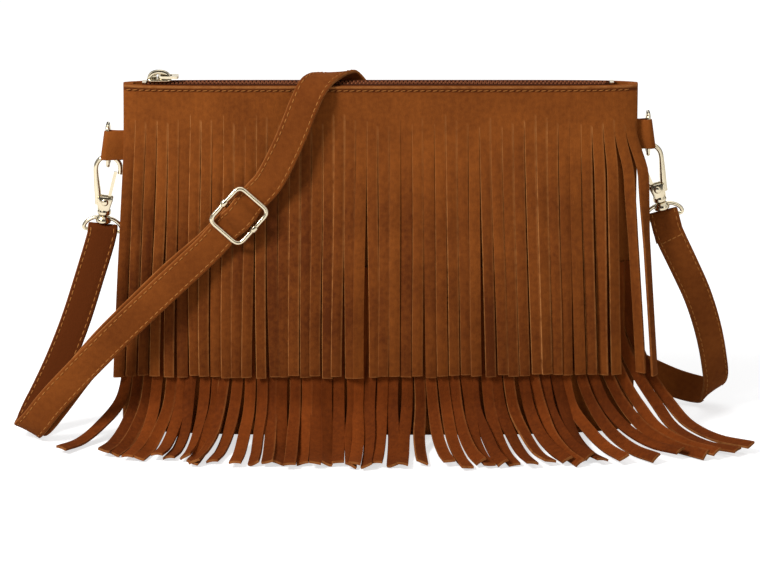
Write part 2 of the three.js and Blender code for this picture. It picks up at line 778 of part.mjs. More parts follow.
function rivet() {
  const ear = baseThickness / 2 + touchGap;
  const head = ear + rivetHeadHeight;
  const profile = [
    [0, -head],
    [rivetHead, -head],
    [rivetHead, -ear],
    [rivetRadius, -ear],
    [rivetRadius, ear],
    [rivetHead, ear],
    [rivetHead, head],
    [0, head],
  ];
  return turned(profile, smallTurnedSides).rotateX(Math.PI / 2).translate(0, 0, rivetHeight);
}

// A turn of wire and a little more round the rivet beside the gate.
function gateSpring() {
  const start = gateMiddle + gateThickness / 2 + touchGap + springWire;
  const points = [];
  for (let i = 0; i <= springTurns * springSteps; i++) {
    const angle = (i / springSteps) * 2 * Math.PI;
    const y = start + (i / springSteps) * springPitch;
    points.push([springCoil * Math.cos(angle), y, rivetHeight + springCoil * Math.sin(angle)]);
  }
  return wire(new THREE.CatmullRomCurve3(points.map(vector)), springWire, springSteps);
}

function swivelEye() {
  const post = turned([
    [0, headTop],
    [headRadius, headTop],
    [headRadius, headBottom],
    [postRadius, headBottom],
    [postRadius, -touchGap],
    [capRadius - capEdge, -touchGap],
    [capRadius, -touchGap - capWall],
    [capRadius - capTaper, -capDrop],
    [0, -capDrop],
  ]);
  const side = strapWidth / 2 + eyeSideGap + eyeWire;
  const shoulder = capDrop - eyeWire + shoulderRise;
  const corners = [
    [-capRadius, -shoulder],
    [capRadius, -shoulder],
    [side, -shoulder - shoulderDrop],
    [side, -eyeBarDrop],
    [-side, -eyeBarDrop],
    [-side, -shoulder - shoulderDrop],
  ];
  const line = closedLine(corners, eyeCorner, wireSteps, (p) => new THREE.Vector3(p.x, 0, p.y));
  return joined(post, wire(line, eyeWire, wireSteps));
}

// Where a clip's parts are: the ring's bar, the hook's frame and the eye's bar.
function clipPlace(side, tabMiddle, lean) {
  const ring = new THREE.Vector3(side * barAt, 0, tabMiddle - ringDrop);
  const tilt = THREE.MathUtils.degToRad(-side * lean);
  const up = new THREE.Vector3(Math.sin(tilt), 0, Math.cos(tilt));
  const hang = bowMiddle + bowRadius - bowWire - hookHang - ringWire; // height of the ring's wire in the bow
  const wireAt = new THREE.Vector3(ring.x, hookSetBack, ring.z - ringHalfHeight);
  const base = wireAt.clone().addScaledVector(up, -hang);
  const eyeBar = base.clone().addScaledVector(up, -eyeBarDrop);
  const across = new THREE.Vector3(Math.cos(tilt), 0, -Math.sin(tilt));
  return { side, tabMiddle, ring, tilt, up, base, eyeBar, across };
}

const clips = {
  left: clipPlace(-1, leftTabMiddle, leftHookLean),
  right: clipPlace(1, rightTabMiddle, rightHookLean),
};

for (const [name, clip] of Object.entries(clips)) {
  add(`${name}_tab`, tab(clip.side), suede).position.z = clip.tabMiddle;
  add(`${name}_d_ring`, dRing(), paleGold).position.copy(clip.ring);
  const hook = new THREE.Group();
  hook.position.copy(clip.base);
  hook.rotation.y = clip.tilt;
  bag.add(hook);
  add(`${name}_hook`, hookBody(clip.side), paleGold, hook);
  add(`${name}_gate`, gate(clip.side), paleGold, hook);
  add(`${name}_gate_rivet`, rivet(), paleGold, hook);
  add(`${name}_gate_spring`, gateSpring(), paleGold, hook);
  add(`${name}_swivel_eye`, swivelEye(), paleGold, hook);
}

// Buckle: a wire frame on the strap's face, and a bar whose two loops slide on the frame's sides.

const buckleAcross = new THREE.Vector3(0.74, 0, -0.67);
buckleAcross.addScaledVector(buckleRun, -buckleAcross.dot(buckleRun)).normalize();
const buckleFace = new THREE.Vector3().crossVectors(buckleRun, buckleAcross);
const buckleSide = strapWidth / 2 + buckleSideGap + buckleWire;

function onBuckle(along, across, proud) {
  return buckleMiddle
    .clone()
    .addScaledVector(buckleRun, along)
    .addScaledVector(buckleAcross, across)
    .addScaledVector(buckleFace, proud);
}

function buckleFrame() {
  const half = buckleLength / 2;
  const corners = [
    [-half, -buckleSide],
    [half, -buckleSide],
    [half, buckleSide],
    [-half, buckleSide],
  ];
  const line = closedLine(corners, buckleCorner, wireSteps, (p) => onBuckle(p.x, p.y, 0));
  return wire(line, buckleWire, wireSteps);
}

function buckleBar() {
  const hole = buckleWire + touchGap;
  const half = barLoopLength / 2;
  const profile = [
    [hole, -half],
    [hole + barLoopWall, -half],
    [hole + barLoopWall, half],
    [hole, half],
    [hole, -half],
  ];
  const loopAt = (side) => turned(profile, smallTurnedSides).rotateY(Math.PI / 2).translate(0, side * buckleSide, 0);
  const bar = new THREE.CylinderGeometry(barRadius, barRadius, 2 * buckleSide, wireSides);
  bar.translate(0, 0, -barDrop);
  const placed = new THREE.Matrix4().makeBasis(buckleRun, buckleAcross, buckleFace).setPosition(buckleMiddle);
  return joined(loopAt(-1), loopAt(1), bar).applyMatrix4(placed);
}

add('buckle_frame', buckleFrame(), paleGold);
add('buckle_bar', buckleBar(), paleGold);

// Strap

const halfThick = strapThickness / 2;
const layerStep = strapThickness + layerGap;

function eyeTurn(clip) {
  const radius = eyeWire + strapGap + halfThick;
  const behind = new THREE.Vector3(0, 1, 0);
  return wrapDegrees.map((degrees) => {
    const angle = THREE.MathUtils.degToRad(degrees);
    const at = clip.eyeBar.clone();
    at.addScaledVector(behind, radius * Math.cos(angle)).addScaledVector(clip.up, radius * Math.sin(angle));
    return { at, across: clip.across };
  }).map((stop, i) => (i === 0 || i === 4 ? { ...stop, at: stop.at.addScaledVector(clip.up, -eyeLead) } : stop));
}

// The sewn-back end behind the right eye, and the first stretch in front of it.
function rightEnd() {
  const { eyeBar, up, across } = clips.right;
  const reach = eyeWire + strapGap + halfThick;
  const stop = (drop, back) => {
    const at = eyeBar.clone().addScaledVector(up, -drop);
    at.y += back;
    return { at, across };
  };
  const tail = [stop(tailLength, reach - tailTuck), stop(tailLength / 2, reach - tailTuck / 4)];
  return [...tail, ...eyeTurn(clips.right), stop(eyeRun, -reach)];
}

// The strap passes under the frame's two end wires and over the bar between them.
function throughBuckle() {
  const under = -(buckleWire + strapGap + halfThick);
  const over = -barDrop + barRadius + strapGap + strapThickness + strapGap + halfThick;
  const stops = [
    [-22, under - 0.3],
    [-14, under],
    [-7.4, under],
    [-3.4, over * 0.45],
    [0, over],
    [3.4, over * 0.45],
    [7.4, under],
    [14, under],
    [22, under - 0.3],
  ];
  return stops.map(([along, proud]) => ({ at: onBuckle(along, 0, proud), across: buckleAcross }));
}

const hand = (stops) => stops.map(({ at, across }) => ({ at: vector(at), across: vector(across).normalize() }));
const lead = [...rightEnd(), ...hand(rightRoute), ...throughBuckle()];
const leftLead = hand(leftRoute);
const leftEye = eyeTurn(clips.left);

// The second layer runs back along the inner side of the first and ends round the buckle's bar.
function secondLayer() {
  const first = [lead.at(-3), lead.at(-2), lead.at(-1), ...leftLead, leftEye[0]];
  const inner = first.slice(1, -1).map((stop, i) => {
    const along = first[i + 2].at.clone().sub(first[i].at);
    const out = along.cross(stop.across).normalize();
    return { at: stop.at.clone().addScaledVector(out, -layerStep), across: stop.across };
  });
  const radius = barRadius + strapGap + halfThick;
  const turn = wrapDegrees.map((degrees) => {
    const angle = THREE.MathUtils.degToRad(degrees);
    const proud = -barDrop - radius * Math.cos(angle);
    return { at: onBuckle(-radius * Math.sin(angle), 0, proud), across: buckleAcross };
  });
  const under = { at: onBuckle(barLead, 0, -barDrop - radius), across: buckleAcross };
  return [...inner.reverse(), under, ...turn];
}

function ribbon(stops) {
  const middle = new THREE.CatmullRomCurve3(stops.map((stop) => stop.at));
  const sideways = new THREE.CatmullRomCurve3(stops.map((stop) => stop.across));
  const faces = [[], []];
  const rows = (stops.length - 1) * rowsPerPoint;
  for (let i = 0; i <= rows; i++) {
    const share = i / rows;
    const along = middle.getTangent(share);
    const across = sideways.getPoint(share);
    across.addScaledVector(along, -across.dot(along)).normalize();
    const out = new THREE.Vector3().crossVectors(along, across);
    faces.forEach((face, k) => {
      const at = middle.getPoint(share).addScaledVector(out, k === 0 ? halfThick : -halfThick);
      face.push([-0.5, 0.5].map((half) => at.clone().addScaledVector(across, half * strapWidth)));
    });
  }
  return sheet(...faces);
}

add('strap', ribbon([...lead, ...leftLead, ...leftEye, ...secondLayer()]), darkSuede);

export default bag;
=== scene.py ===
# %% [markdown]
# # A fringed suede bag
# This lesson dresses a small shoulder bag: a zipped suede pouch with two tiers of cut fringe, a long strap
# and pale gold fittings. The CAD model already fixes every size and every joint. Here each soft piece is
# modelled as the sheet that it is, each fitting as smooth metal, and each finish as a node material.

# %% Load the frame
import json
import math
import random

import bmesh
import bpy
import numpy as np
from mathutils import Matrix, Vector


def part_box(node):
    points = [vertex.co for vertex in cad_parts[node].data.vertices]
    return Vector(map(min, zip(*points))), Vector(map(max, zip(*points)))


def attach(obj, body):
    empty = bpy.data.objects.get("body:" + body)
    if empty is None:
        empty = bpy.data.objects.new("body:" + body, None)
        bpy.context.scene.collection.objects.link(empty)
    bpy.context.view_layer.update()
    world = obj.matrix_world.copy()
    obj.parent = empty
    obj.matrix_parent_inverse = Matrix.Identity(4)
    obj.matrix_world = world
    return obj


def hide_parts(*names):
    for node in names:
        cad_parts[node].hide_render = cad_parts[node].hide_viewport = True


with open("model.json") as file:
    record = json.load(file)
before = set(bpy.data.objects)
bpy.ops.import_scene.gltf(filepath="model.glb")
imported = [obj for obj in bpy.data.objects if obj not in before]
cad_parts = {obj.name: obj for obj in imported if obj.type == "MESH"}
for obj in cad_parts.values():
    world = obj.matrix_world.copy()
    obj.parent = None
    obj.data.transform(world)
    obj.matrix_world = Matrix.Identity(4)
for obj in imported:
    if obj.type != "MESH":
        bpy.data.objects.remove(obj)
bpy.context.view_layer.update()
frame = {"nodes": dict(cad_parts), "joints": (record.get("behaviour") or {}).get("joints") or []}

MM = 0.001

# %% [markdown]
# ## Camera
# The bag was photographed square to its front from a little above, with a long lens. A camera far away on a
# narrow lens keeps the sides of the pouch parallel. The lens follows from one measured scale: how many pixels
# a metre of the front panel takes.

# %% Camera
image_width = 760
sensor_width = 36.0
pixels_per_metre = 1985
camera_distance = 2.4
camera_elevation = math.radians(15)
camera_aim = Vector((0.001, -0.018, 0.0814))

camera_data = bpy.data.cameras.new("camera")
camera_data.sensor_width = sensor_width
camera_data.lens = sensor_width * camera_distance * pixels_per_metre / image_width
camera = bpy.data.objects.new("camera", camera_data)
camera_back = Vector((0, -math.cos(camera_elevation), math.sin(camera_elevation)))
camera.location = camera_aim + camera_back * camera_distance
camera.rotation_euler = (math.pi / 2 - camera_elevation, 0, 0)
bpy.context.scene.collection.objects.link(camera)
bpy.context.scene.camera = camera
bpy.context.scene.view_settings.view_transform = "Standard"
print("lens", round(camera_data.lens, 1), "mm")

# %% [markdown]
# ## Light and floor
# A soft lamp stands high on the left, so that the strips shade each other to the right. A weaker one fills in
# from the right, and a third hangs over the bag. The world and the floor turn white only for rays that the
# camera, a gloss or glass sends, so the background is white without pouring more light on the suede.

# %% Lamps
def lamp(name, location, aim, size, power):
    data = bpy.data.lights.new(name, "AREA")
    data.size = size
    data.energy = power
    obj = bpy.data.objects.new(name, data)
    obj.location = location
    obj.rotation_euler = (Vector(aim) - Vector(location)).to_track_quat("-Z", "Y").to_euler()
    bpy.context.scene.collection.objects.link(obj)
    return obj


bag_middle = (0, 0, 0.09)
lamp("key_lamp", (-1.0, -0.95, 1.2), bag_middle, 0.5, 29.5)
lamp("fill_lamp", (1.2, -0.9, 0.6), bag_middle, 1.2, 3)
lamp("top_lamp", (0, 0.4, 1.5), bag_middle, 1.2, 5)

# %% Node helpers
def set_inputs(node, values):
    for name, value in values.items():
        node.inputs[name].default_value = value


def add_node(tree, kind, values=()):
    node = tree.nodes.new("ShaderNode" + kind)
    set_inputs(node, dict(values))
    return node


def wire(tree, joins):
    """Joins sockets: each entry is a node, its output, the node that it feeds and the input there."""
    for source, output, target, socket in joins:
        tree.links.new(source.outputs[output], target.inputs[socket])


def new_material(name):
    material = bpy.data.materials.new(name)
    material.use_nodes = True
    return material, material.node_tree, material.node_tree.nodes["Principled BSDF"]


def new_object(name, points, faces):
    mesh = bpy.data.meshes.new(name)
    mesh.from_pydata(points, [], faces)
    obj = bpy.data.objects.new(name, mesh)
    bpy.context.scene.collection.objects.link(obj)
    return obj


# %% White for seen rays
def seen_rays(tree):
    """A value of 1 for rays from the camera, a gloss or glass, and 0 for light on the bag."""
    path = add_node(tree, "LightPath")
    total = path.outputs["Is Camera Ray"]
    for name in ["Is Glossy Ray", "Is Transmission Ray"]:
        either = add_node(tree, "Math")
        either.operation = "MAXIMUM"
        tree.links.new(total, either.inputs[0])
        tree.links.new(path.outputs[name], either.inputs[1])
        total = either.outputs[0]
    return total


world = bpy.data.worlds.new("studio")
bpy.context.scene.world = world
world.use_nodes = True
world_tree = world.node_tree
world_shader = world_tree.nodes["Background"]
world_shader.inputs["Color"].default_value = (1, 1, 1, 1)
world_strength = add_node(world_tree, "MapRange", {"To Min": 0.3, "To Max": 1.0})
world_tree.links.new(seen_rays(world_tree), world_strength.inputs["Value"])
world_tree.links.new(world_strength.outputs["Result"], world_shader.inputs["Strength"])
print("world", world.name)

# %% Floor
floor_half = 4.0
floor_drop = 0.0003
floor_corners = [(-1, -1), (1, -1), (1, 1), (-1, 1)]
floor_points = [(x * floor_half, y * floor_half, -floor_drop) for x, y in floor_corners]
floor = new_object("floor", floor_points, [(0, 1, 2, 3)])

floor_material, floor_tree, floor_shader = new_material("white floor")
set_inputs(floor_shader, {
    "Base Color": (0.62, 0.62, 0.62, 1),
    "Roughness": 0.9,
    "Specular IOR Level": 0.0,
    "Emission Color": (1, 1, 1, 1),
})
floor_glow = add_node(floor_tree, "Math", {1: 0.66})
floor_glow.operation = "MULTIPLY"
floor_tree.links.new(seen_rays(floor_tree), floor_glow.inputs[0])
floor_tree.links.new(floor_glow.outputs[0], floor_shader.inputs["Emission Strength"])
floor.data.materials.append(floor_material)
print("floor", floor_half * 2, "m wide")

# %% [markdown]
# Polished metal shows only what stands round it. All white, it would look like plastic, so a photographer
# stands dark cards round the set, and every wire gets dark lines between its bright sides. The cards stand
# out of view, and only glossy rays meet them.

# %% Dark cards
card_radius = 1.9
card_low = 0.02
card_high = 1.7
card_step = 4
card_spans = [(-28, 28), (44, 80), (-80, -44), (100, 132), (-132, -100), (144, 172), (-172, -144)]

card_points = []
card_faces = []
for first, last in card_spans:
    start = len(card_points)
    turns = [math.radians(d) for d in range(first, last + 1, card_step)]
    feet = [(card_radius * math.sin(t), -card_radius * math.cos(t)) for t in turns]
    card_points += [(x, y, z) for x, y in feet for z in (card_low, card_high)]
    corners = range(start, start + 2 * len(feet) - 2, 2)
    card_faces += [(k, k + 2, k + 3, k + 1) for k in corners]
cards = new_object("dark_cards", card_points, card_faces)
for rays in ("camera", "diffuse", "transmission", "volume_scatter", "shadow"):
    setattr(cards, f"visible_{rays}", False)
card_material, _, card_shader = new_material("dark card")
card_shader.inputs["Base Color"].default_value = (0.012, 0.01, 0.009, 1)
cards.data.materials.append(card_material)
print("dark cards", len(card_spans))

# %% [markdown]
# ## Suede
# Suede is leather with its soft fibre side out. It has no gloss: it shows a short nap that catches light at
# a slant, slow changes of tone where the nap lies another way, and paler raw fibre on every cut edge. The
# group
# also paints light: its pale edge mask carries painted highlights, and its tone mask carries painted shade.
# All the suede pieces share these effects, so they are one node group that puts out a colour, a roughness and
# a height.

# %% Suede node group
def srgb(red, green, blue):
    """A colour as a shader takes it, from the 0 to 255 numbers of a picture."""
    channels = [value / 255 for value in (red, green, blue)]
    linear = [c / 12.92 if c <= 0.04045 else ((c + 0.055) / 1.055) ** 2.4 for c in channels]
    return (*linear, 1.0)


def suede_group():
    group = bpy.data.node_groups.new("suede nap", "ShaderNodeTree")
    sockets = group.interface
    for name, kind, value in [
        ("Tone", "Color", srgb(124, 64, 28)),
        ("Deep tone", "Color", srgb(94, 44, 12)),
        ("Raw edge and highlight", "Color", srgb(172, 112, 60)),
        ("Patch size", "Float", 26.0),
        ("Patch amount", "Float", 0.6),
        ("Streak amount", "Float", 0.3),
    ]:
        sockets.new_socket(name, in_out="INPUT", socket_type="NodeSocket" + kind).default_value = value
    for name, kind in [("Color", "Color"), ("Roughness", "Float"), ("Height", "Float")]:
        sockets.new_socket(name, in_out="OUTPUT", socket_type="NodeSocket" + kind)

    given = group.nodes.new("NodeGroupInput").outputs
    made = group.nodes.new("NodeGroupOutput").inputs
    place = add_node(group, "TexCoord").outputs["Object"]

    def feed(socket, value):
        if isinstance(value, (int, float)):
            socket.default_value = value
        else:
            group.links.new(value, socket)

    def noise(scale, detail, vector=place):
        node = add_node(group, "TexNoise", {"Detail": detail})
        feed(node.inputs["Vector"], vector)
        feed(node.inputs["Scale"], scale)
        return node.outputs["Fac"]

    def math_node(operation, first, second):
        node = add_node(group, "Math")
        node.operation = operation
        feed(node.inputs[0], first)
        feed(node.inputs[1], second)
        return node.outputs[0]

    def spread(value, low, high):
        node = add_node(group, "MapRange", {"From Min": low, "From Max": high})
        feed(node.inputs["Value"], value)
        return node.outputs["Result"]

    def mixed(amount, first, second):
        node = add_node(group, "Mix")
        node.data_type = "RGBA"
        feed(node.inputs["Factor"], amount)
        feed(node.inputs["A"], first)
        feed(node.inputs["B"], second)
        return node.outputs["Result"]

    def point_mask(name):
        node = add_node(group, "Attribute")
        node.attribute_name = name
        return node.outputs["Fac"]

    stretched = add_node(group, "Mapping", {"Scale": (1, 1, 0.06)})
    feed(stretched.inputs["Vector"], place)
    patches = spread(noise(given["Patch size"], 3.0), 0.32, 0.7)
    streaks = spread(noise(750, 2.0, stretched.outputs["Vector"]), 0.3, 0.75)
    nap = noise(1700, 2.0)
    clumps = noise(420, 3.0)

    shade = math_node("MULTIPLY", patches, given["Patch amount"])
    lines = math_node("MULTIPLY", streaks, given["Streak amount"])
    fibre = math_node("MULTIPLY", spread(clumps, 0.35, 0.75), 0.3)
    slow = math_node("ADD", shade, lines)
    # A darker tone per point: random tone per strip, plus painted shade in the sewn line under the mouth and
    # on the strap's left leg.
    fine = math_node("ADD", fibre, point_mask("tone_and_shade"))
    darker = math_node("MINIMUM", math_node("ADD", slow, fine), 1.0)
    toned = mixed(darker, given["Tone"], given["Deep tone"])
    # Paler raw fibre on cut edges, plus painted highlights on the strips' left edges and on the fold under
    # the mouth.
    pale_edge_and_highlight = math_node("MULTIPLY", point_mask("cut_edge_and_highlight"), spread(noise(260, 2.0), 0.15, 0.6))
    feed(made["Color"], mixed(pale_edge_and_highlight, toned, given["Raw edge and highlight"]))

    rough = add_node(group, "MapRange", {"To Min": 0.82, "To Max": 0.98})
    feed(rough.inputs["Value"], nap)
    feed(made["Roughness"], rough.outputs["Result"])
    feed(made["Height"], math_node("ADD", nap, math_node("MULTIPLY", clumps, 1.2)))
    return group


suede_nap = suede_group()
print("group", suede_nap.name, "with", len(suede_nap.nodes), "nodes")

# %% Suede materials
def suede_material(name, tone, deep, patch_size=26.0, patch_amount=0.6, streak_amount=0.3):
    material, tree, shader = new_material(name)
    nap = add_node(tree, "Group")
    nap.node_tree = suede_nap
    set_inputs(nap, {
        "Tone": tone,
        "Deep tone": deep,
        "Patch size": patch_size,
        "Patch amount": patch_amount,
        "Streak amount": streak_amount,
    })
    bump = add_node(tree, "Bump", {"Strength": 0.35, "Distance": 0.0004})
    wire(tree, [
        (nap, "Height", bump, "Height"),
        (nap, "Color", shader, "Base Color"),
        (nap, "Roughness", shader, "Roughness"),
        (bump, "Normal", shader, "Normal"),
    ])
    set_inputs(shader, {
        "Specular IOR Level": 0.06,
        "Sheen Weight": 0.05,
        "Sheen Roughness": 0.4,
        "Sheen Tint": srgb(214, 150, 96),
    })
    return material


pouch_suede = suede_material("pouch suede", srgb(138, 75, 28), srgb(114, 57, 18), streak_amount=0.05)
upper_suede = suede_material("upper fringe suede", srgb(139, 75, 27), srgb(86, 40, 13), 30.0, 0.4, 0.14)
lower_suede = suede_material("lower fringe suede", srgb(131, 62, 19), srgb(87, 38, 10), 26.0, 0.4, 0.2)
strap_suede = suede_material("strap suede", srgb(130, 69, 25), srgb(89, 41, 12), 34.0, 0.5, 0.0)
print("suede finishes", [m.name for m in bpy.data.materials if "suede" in m.name])

# %% [markdown]
# ## Other finishes
# The fittings are plated a pale gold and polished, with only a faint unevenness. The thread is a twisted tan
# yarn, the zip's coil is brown nylon, and its tape and the lining are plain woven cloth.

# %% Pale gold
def gold_material():
    material, tree, shader = new_material("pale gold plate")
    place = add_node(tree, "TexCoord")
    cloud = add_node(tree, "TexNoise", {"Scale": 380})
    tint = add_node(tree, "ValToRGB")
    tint.color_ramp.elements[0].color = srgb(200, 186, 156)
    tint.color_ramp.elements[1].color = srgb(224, 212, 184)
    polish = add_node(tree, "MapRange", {"To Min": 0.1, "To Max": 0.24})
    wire(tree, [
        (place, "Object", cloud, "Vector"),
        (cloud, "Fac", tint, "Fac"),
        (tint, "Color", shader, "Base Color"),
        (cloud, "Fac", polish, "Value"),
        (polish, "Result", shader, "Roughness"),
    ])
    shader.inputs["Metallic"].default_value = 1.0
    return material


gold = gold_material()
print("finish", gold.name)

# %% Thread, zip and lining
def woven_material(name, light, dark, threads_per_metre, roughness):
    """Cloth or twisted yarn: two crossed waves of threads, which colour it and lift it."""
    material, tree, shader = new_material(name)
    place = add_node(tree, "TexCoord")
    crossed = add_node(tree, "Math")
    crossed.operation = "MULTIPLY"
    for socket, direction in enumerate(("X", "DIAGONAL")):
        wave = add_node(tree, "TexWave", {"Scale": threads_per_metre, "Distortion": 0.6})
        wave.bands_direction = direction
        wire(tree, [(place, "Object", wave, "Vector"), (wave, "Fac", crossed, socket)])
    tint = add_node(tree, "Mix")
    tint.data_type = "RGBA"
    tint.inputs["A"].default_value = dark
    tint.inputs["B"].default_value = light
    bump = add_node(tree, "Bump", {"Strength": 0.4, "Distance": 0.0002})
    wire(tree, [
        (crossed, 0, tint, "Factor"),
        (tint, "Result", shader, "Base Color"),
        (crossed, 0, bump, "Height"),
        (bump, "Normal", shader, "Normal"),
    ])
    set_inputs(shader, {"Roughness": roughness, "Specular IOR Level": 0.03})
    return material


thread = woven_material("tan thread", srgb(190, 128, 70), srgb(150, 92, 42), 900, 0.8)
tape_cloth = woven_material("zip tape cloth", srgb(88, 44, 22), srgb(54, 24, 11), 600, 0.85)
coil_nylon = woven_material("zip coil nylon", srgb(150, 94, 62), srgb(92, 48, 28), 320, 0.7)
lining_cloth = woven_material("lining cloth", srgb(96, 60, 38), srgb(70, 42, 26), 420, 0.85)
print("finishes", len(bpy.data.materials))

# %% [markdown]
# ## Mesh helpers
# Every new piece is points and faces made in code. Points are written in millimetres, as a maker would, and
# become metres when the mesh is made. A sweep draws a ring along a line, a lathe turns a profile, and a curve
# runs smoothly through its stops in the same way as the CAD's strap does.

# %% New pieces
def piece(name, shape, material, body, replaced=(), crease=None):
    """A mesh object from points in millimetres. It rides on a body and may stand for CAD nodes."""
    points, faces = shape
    obj = new_object(name, (np.asarray(points, float) * MM).tolist(), faces)
    mesh = obj.data
    outward = bmesh.new()
    outward.from_mesh(mesh)
    bmesh.ops.recalc_face_normals(outward, faces=outward.faces)
    outward.to_mesh(mesh)
    outward.free()
    mesh.shade_smooth()
    if crease is not None:
        mesh.set_sharp_from_angle(angle=math.radians(crease))
    mesh.materials.append(material)
    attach(obj, body)
    if replaced:
        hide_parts(*replaced)
    print(name, len(mesh.polygons), "faces")
    return obj


def mark_points(obj, marks):
    """Stores named masks on a mesh, one value for each point, for its material to read."""
    for name, values in marks.items():
        data = obj.data.attributes.new(name, "FLOAT", "POINT").data
        data.foreach_set("value", np.asarray(values, np.float32))


def in_mm(box):
    """The low and high corners of a box, in millimetres."""
    return [np.array(corner) / MM for corner in box]


def joined(shapes):
    points = []
    faces = []
    start = 0
    for shape_points, shape_faces in shapes:
        points.append(np.asarray(shape_points, float))
        faces += [tuple(start + corner for corner in face) for face in shape_faces]
        start += len(shape_points)
    return np.vstack(points), faces


def moved(shape, matrix):
    points = np.asarray(shape[0], float) @ np.array(matrix.to_3x3()).T + np.array(matrix.translation)
    return points, shape[1]


def upright(shape):
    """A shape drawn flat in X and Y, stood up so that its Y is up and its thickness runs back."""
    return moved(shape, Matrix.Rotation(math.pi / 2, 4, "X"))


# %% Rings and sweeps
along_x, along_y, along_z = np.eye(3)


def unit(vectors):
    return vectors / np.linalg.norm(vectors, axis=-1, keepdims=True)


def ring_faces(rings, sides, closed=False, capped=False):
    """Faces between rings of points that follow each other, and over both ends if capped."""
    faces = []
    for r in range(rings if closed else rings - 1):
        after = (r + 1) % rings
        for s in range(sides):
            turn = (s + 1) % sides
            faces.append((r * sides + s, r * sides + turn, after * sides + turn, after * sides + s))
    if capped:
        faces.append(tuple(range(sides)))
        faces.append(tuple(range((rings - 1) * sides, rings * sides)))
    return faces


def section_rings(section, line, across, up):
    """A section's points, set at each place on a line."""
    widths, heights = np.transpose(section)
    rings = [p + np.outer(widths, a) + np.outer(heights, n) for p, a, n in zip(line, across, up)]
    return np.vstack(rings)


def sweep(line, section, plane, closed=False, scale=1.0):
    """A section of (across, along the plane's normal) offsets carried along a line that lies near a plane."""
    line = np.asarray(line, float)
    if closed:
        along = np.roll(line, -1, 0) - np.roll(line, 1, 0)
    else:
        along = np.gradient(line, axis=0)
    along = unit(along)
    across = unit(np.cross(plane, along))
    size = np.broadcast_to(scale, len(line))[:, None]
    points = section_rings(section, line, across * size, np.cross(along, across) * size)
    return points, ring_faces(len(line), len(section), closed, not closed)


# %% Sections and lathes
def circle(radius, sides=14):
    turns = [2 * math.pi * k / sides for k in range(sides)]
    return [(radius * math.cos(t), radius * math.sin(t)) for t in turns]


def soft_bar(width, height, corner):
    """A rectangular section with each corner cut twice, so that it catches a highlight."""
    half_w = width / 2
    half_h = height / 2
    cut = corner * 0.3
    steps = [(half_w, half_h - corner), (half_w - cut, half_h - cut), (half_w - corner, half_h)]
    outline = []
    for sx, sy in [(1, 1), (-1, 1), (-1, -1), (1, -1)]:
        outline += [(sx * u, sy * v) for u, v in (steps if sx * sy > 0 else steps[::-1])]
    return outline


def lathe(profile, sides=28):
    """A profile of (radius, height) turned round Z. Its first and last points are on the axis."""
    rings = profile[1:-1]
    points = [(r * u, r * v, z) for r, z in rings for u, v in circle(1, sides)]
    faces = ring_faces(len(rings), sides)
    for end, ring in ((profile[0], 0), (profile[-1], len(rings) - 1)):
        pole = len(points)
        points.append((0, 0, end[1]))
        faces += [(pole, ring * sides + k, ring * sides + (k + 1) % sides) for k in range(sides)]
    return np.array(points), faces


# %% Smooth curves
def smooth_curve(stops, steps):
    """Points on a centripetal curve through the stops, with so many steps between one stop and the next."""
    stops = np.asarray(stops, float)
    padded = np.vstack([2 * stops[0] - stops[1], stops, 2 * stops[-1] - stops[-2]])
    share = np.linspace(0, 1, steps, endpoint=False)[:, None]
    gaps = np.maximum(np.linalg.norm(np.diff(padded, axis=0), axis=1), 1e-8) ** 0.5
    found = []
    for k in range(len(stops) - 1):
        p0, p1, p2, p3 = padded[k:k + 4]
        gap0, gap1, gap2 = gaps[k:k + 3]
        if gap1 < 1e-3:
            gap1 = 1.0
        gap0 = gap1 if gap0 < 1e-3 else gap0
        gap2 = gap1 if gap2 < 1e-3 else gap2
        leave = ((p1 - p0) / gap0 - (p2 - p0) / (gap0 + gap1) + (p2 - p1) / gap1) * gap1
        arrive = ((p2 - p1) / gap1 - (p3 - p1) / (gap1 + gap2) + (p3 - p2) / gap2) * gap1
        third = 2 * p1 - 2 * p2 + leave + arrive
        second = -3 * p1 + 3 * p2 - 2 * leave - arrive
        found.append(p1 + leave * share + second * share ** 2 + third * share ** 3)
    return np.vstack([*found, stops[-1:]])


def smooth_step(low, high, value):
    share = np.clip((np.asarray(value, float) - low) / (high - low), 0, 1)
    return share * share * (3 - 2 * share)


def rounded_loop(corners, radius, step=0.5):
    """A closed outline in two directions, with each corner rounded by a curve."""
    found = []
    corners = np.asarray(corners, float)
    for k, corner in enumerate(corners):
        before = corners[k - 1] - corner
        after = corners[(k + 1) % len(corners)] - corner
        start = corner + unit(before) * min(radius, np.linalg.norm(before) / 2)
        end = corner + unit(after) * min(radius, np.linalg.norm(after) / 2)
        if found:
            straight = start - found[-1]
            count = max(1, int(np.linalg.norm(straight) / step / 4))
            found += [found[-1] + straight * (s / count) for s in range(1, count)]
        for t in np.linspace(0, 1, 9):
            found.append((1 - t) ** 2 * start + 2 * t * (1 - t) * corner + t * t * end)
    return np.array(found)


# %% [markdown]
# ## Pouch
# The pouch is one suede panel folded at the base and sewn up both sides, so it is nearly flat at its seams
# and swells in the middle. A loft of rings does that: each ring is as deep as the pouch is at its height.
# Slow waves on the back keep it from looking blown up, and the mouth is pressed flat by the zip.

# %% Pouch form
pouch_low, pouch_high = in_mm(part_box("pouch_body"))
half_width = pouch_high[0]
pouch_height = pouch_high[2]
belly_depth = pouch_high[1] - pouch_low[1]
base_depth = 38
belly_height = 60
mouth_depth = 15
seam_depth = 4.4
base_round = 5
suede_thickness = 1.4
print("pouch", [round(float(size), 1) for size in pouch_high - pouch_low], "mm")


def pouch_depth(z):
    z = np.asarray(z, float)
    low = base_depth + (belly_depth - base_depth) * np.sin(np.pi / 2 * np.clip(z / belly_height, 0, 1))
    up = np.clip((z - belly_height) / (pouch_height - belly_height), 0, 1)
    high = belly_depth + (mouth_depth - belly_depth) * (1 - np.cos(np.pi * up)) / 2
    return np.where(z < belly_height, low, high)


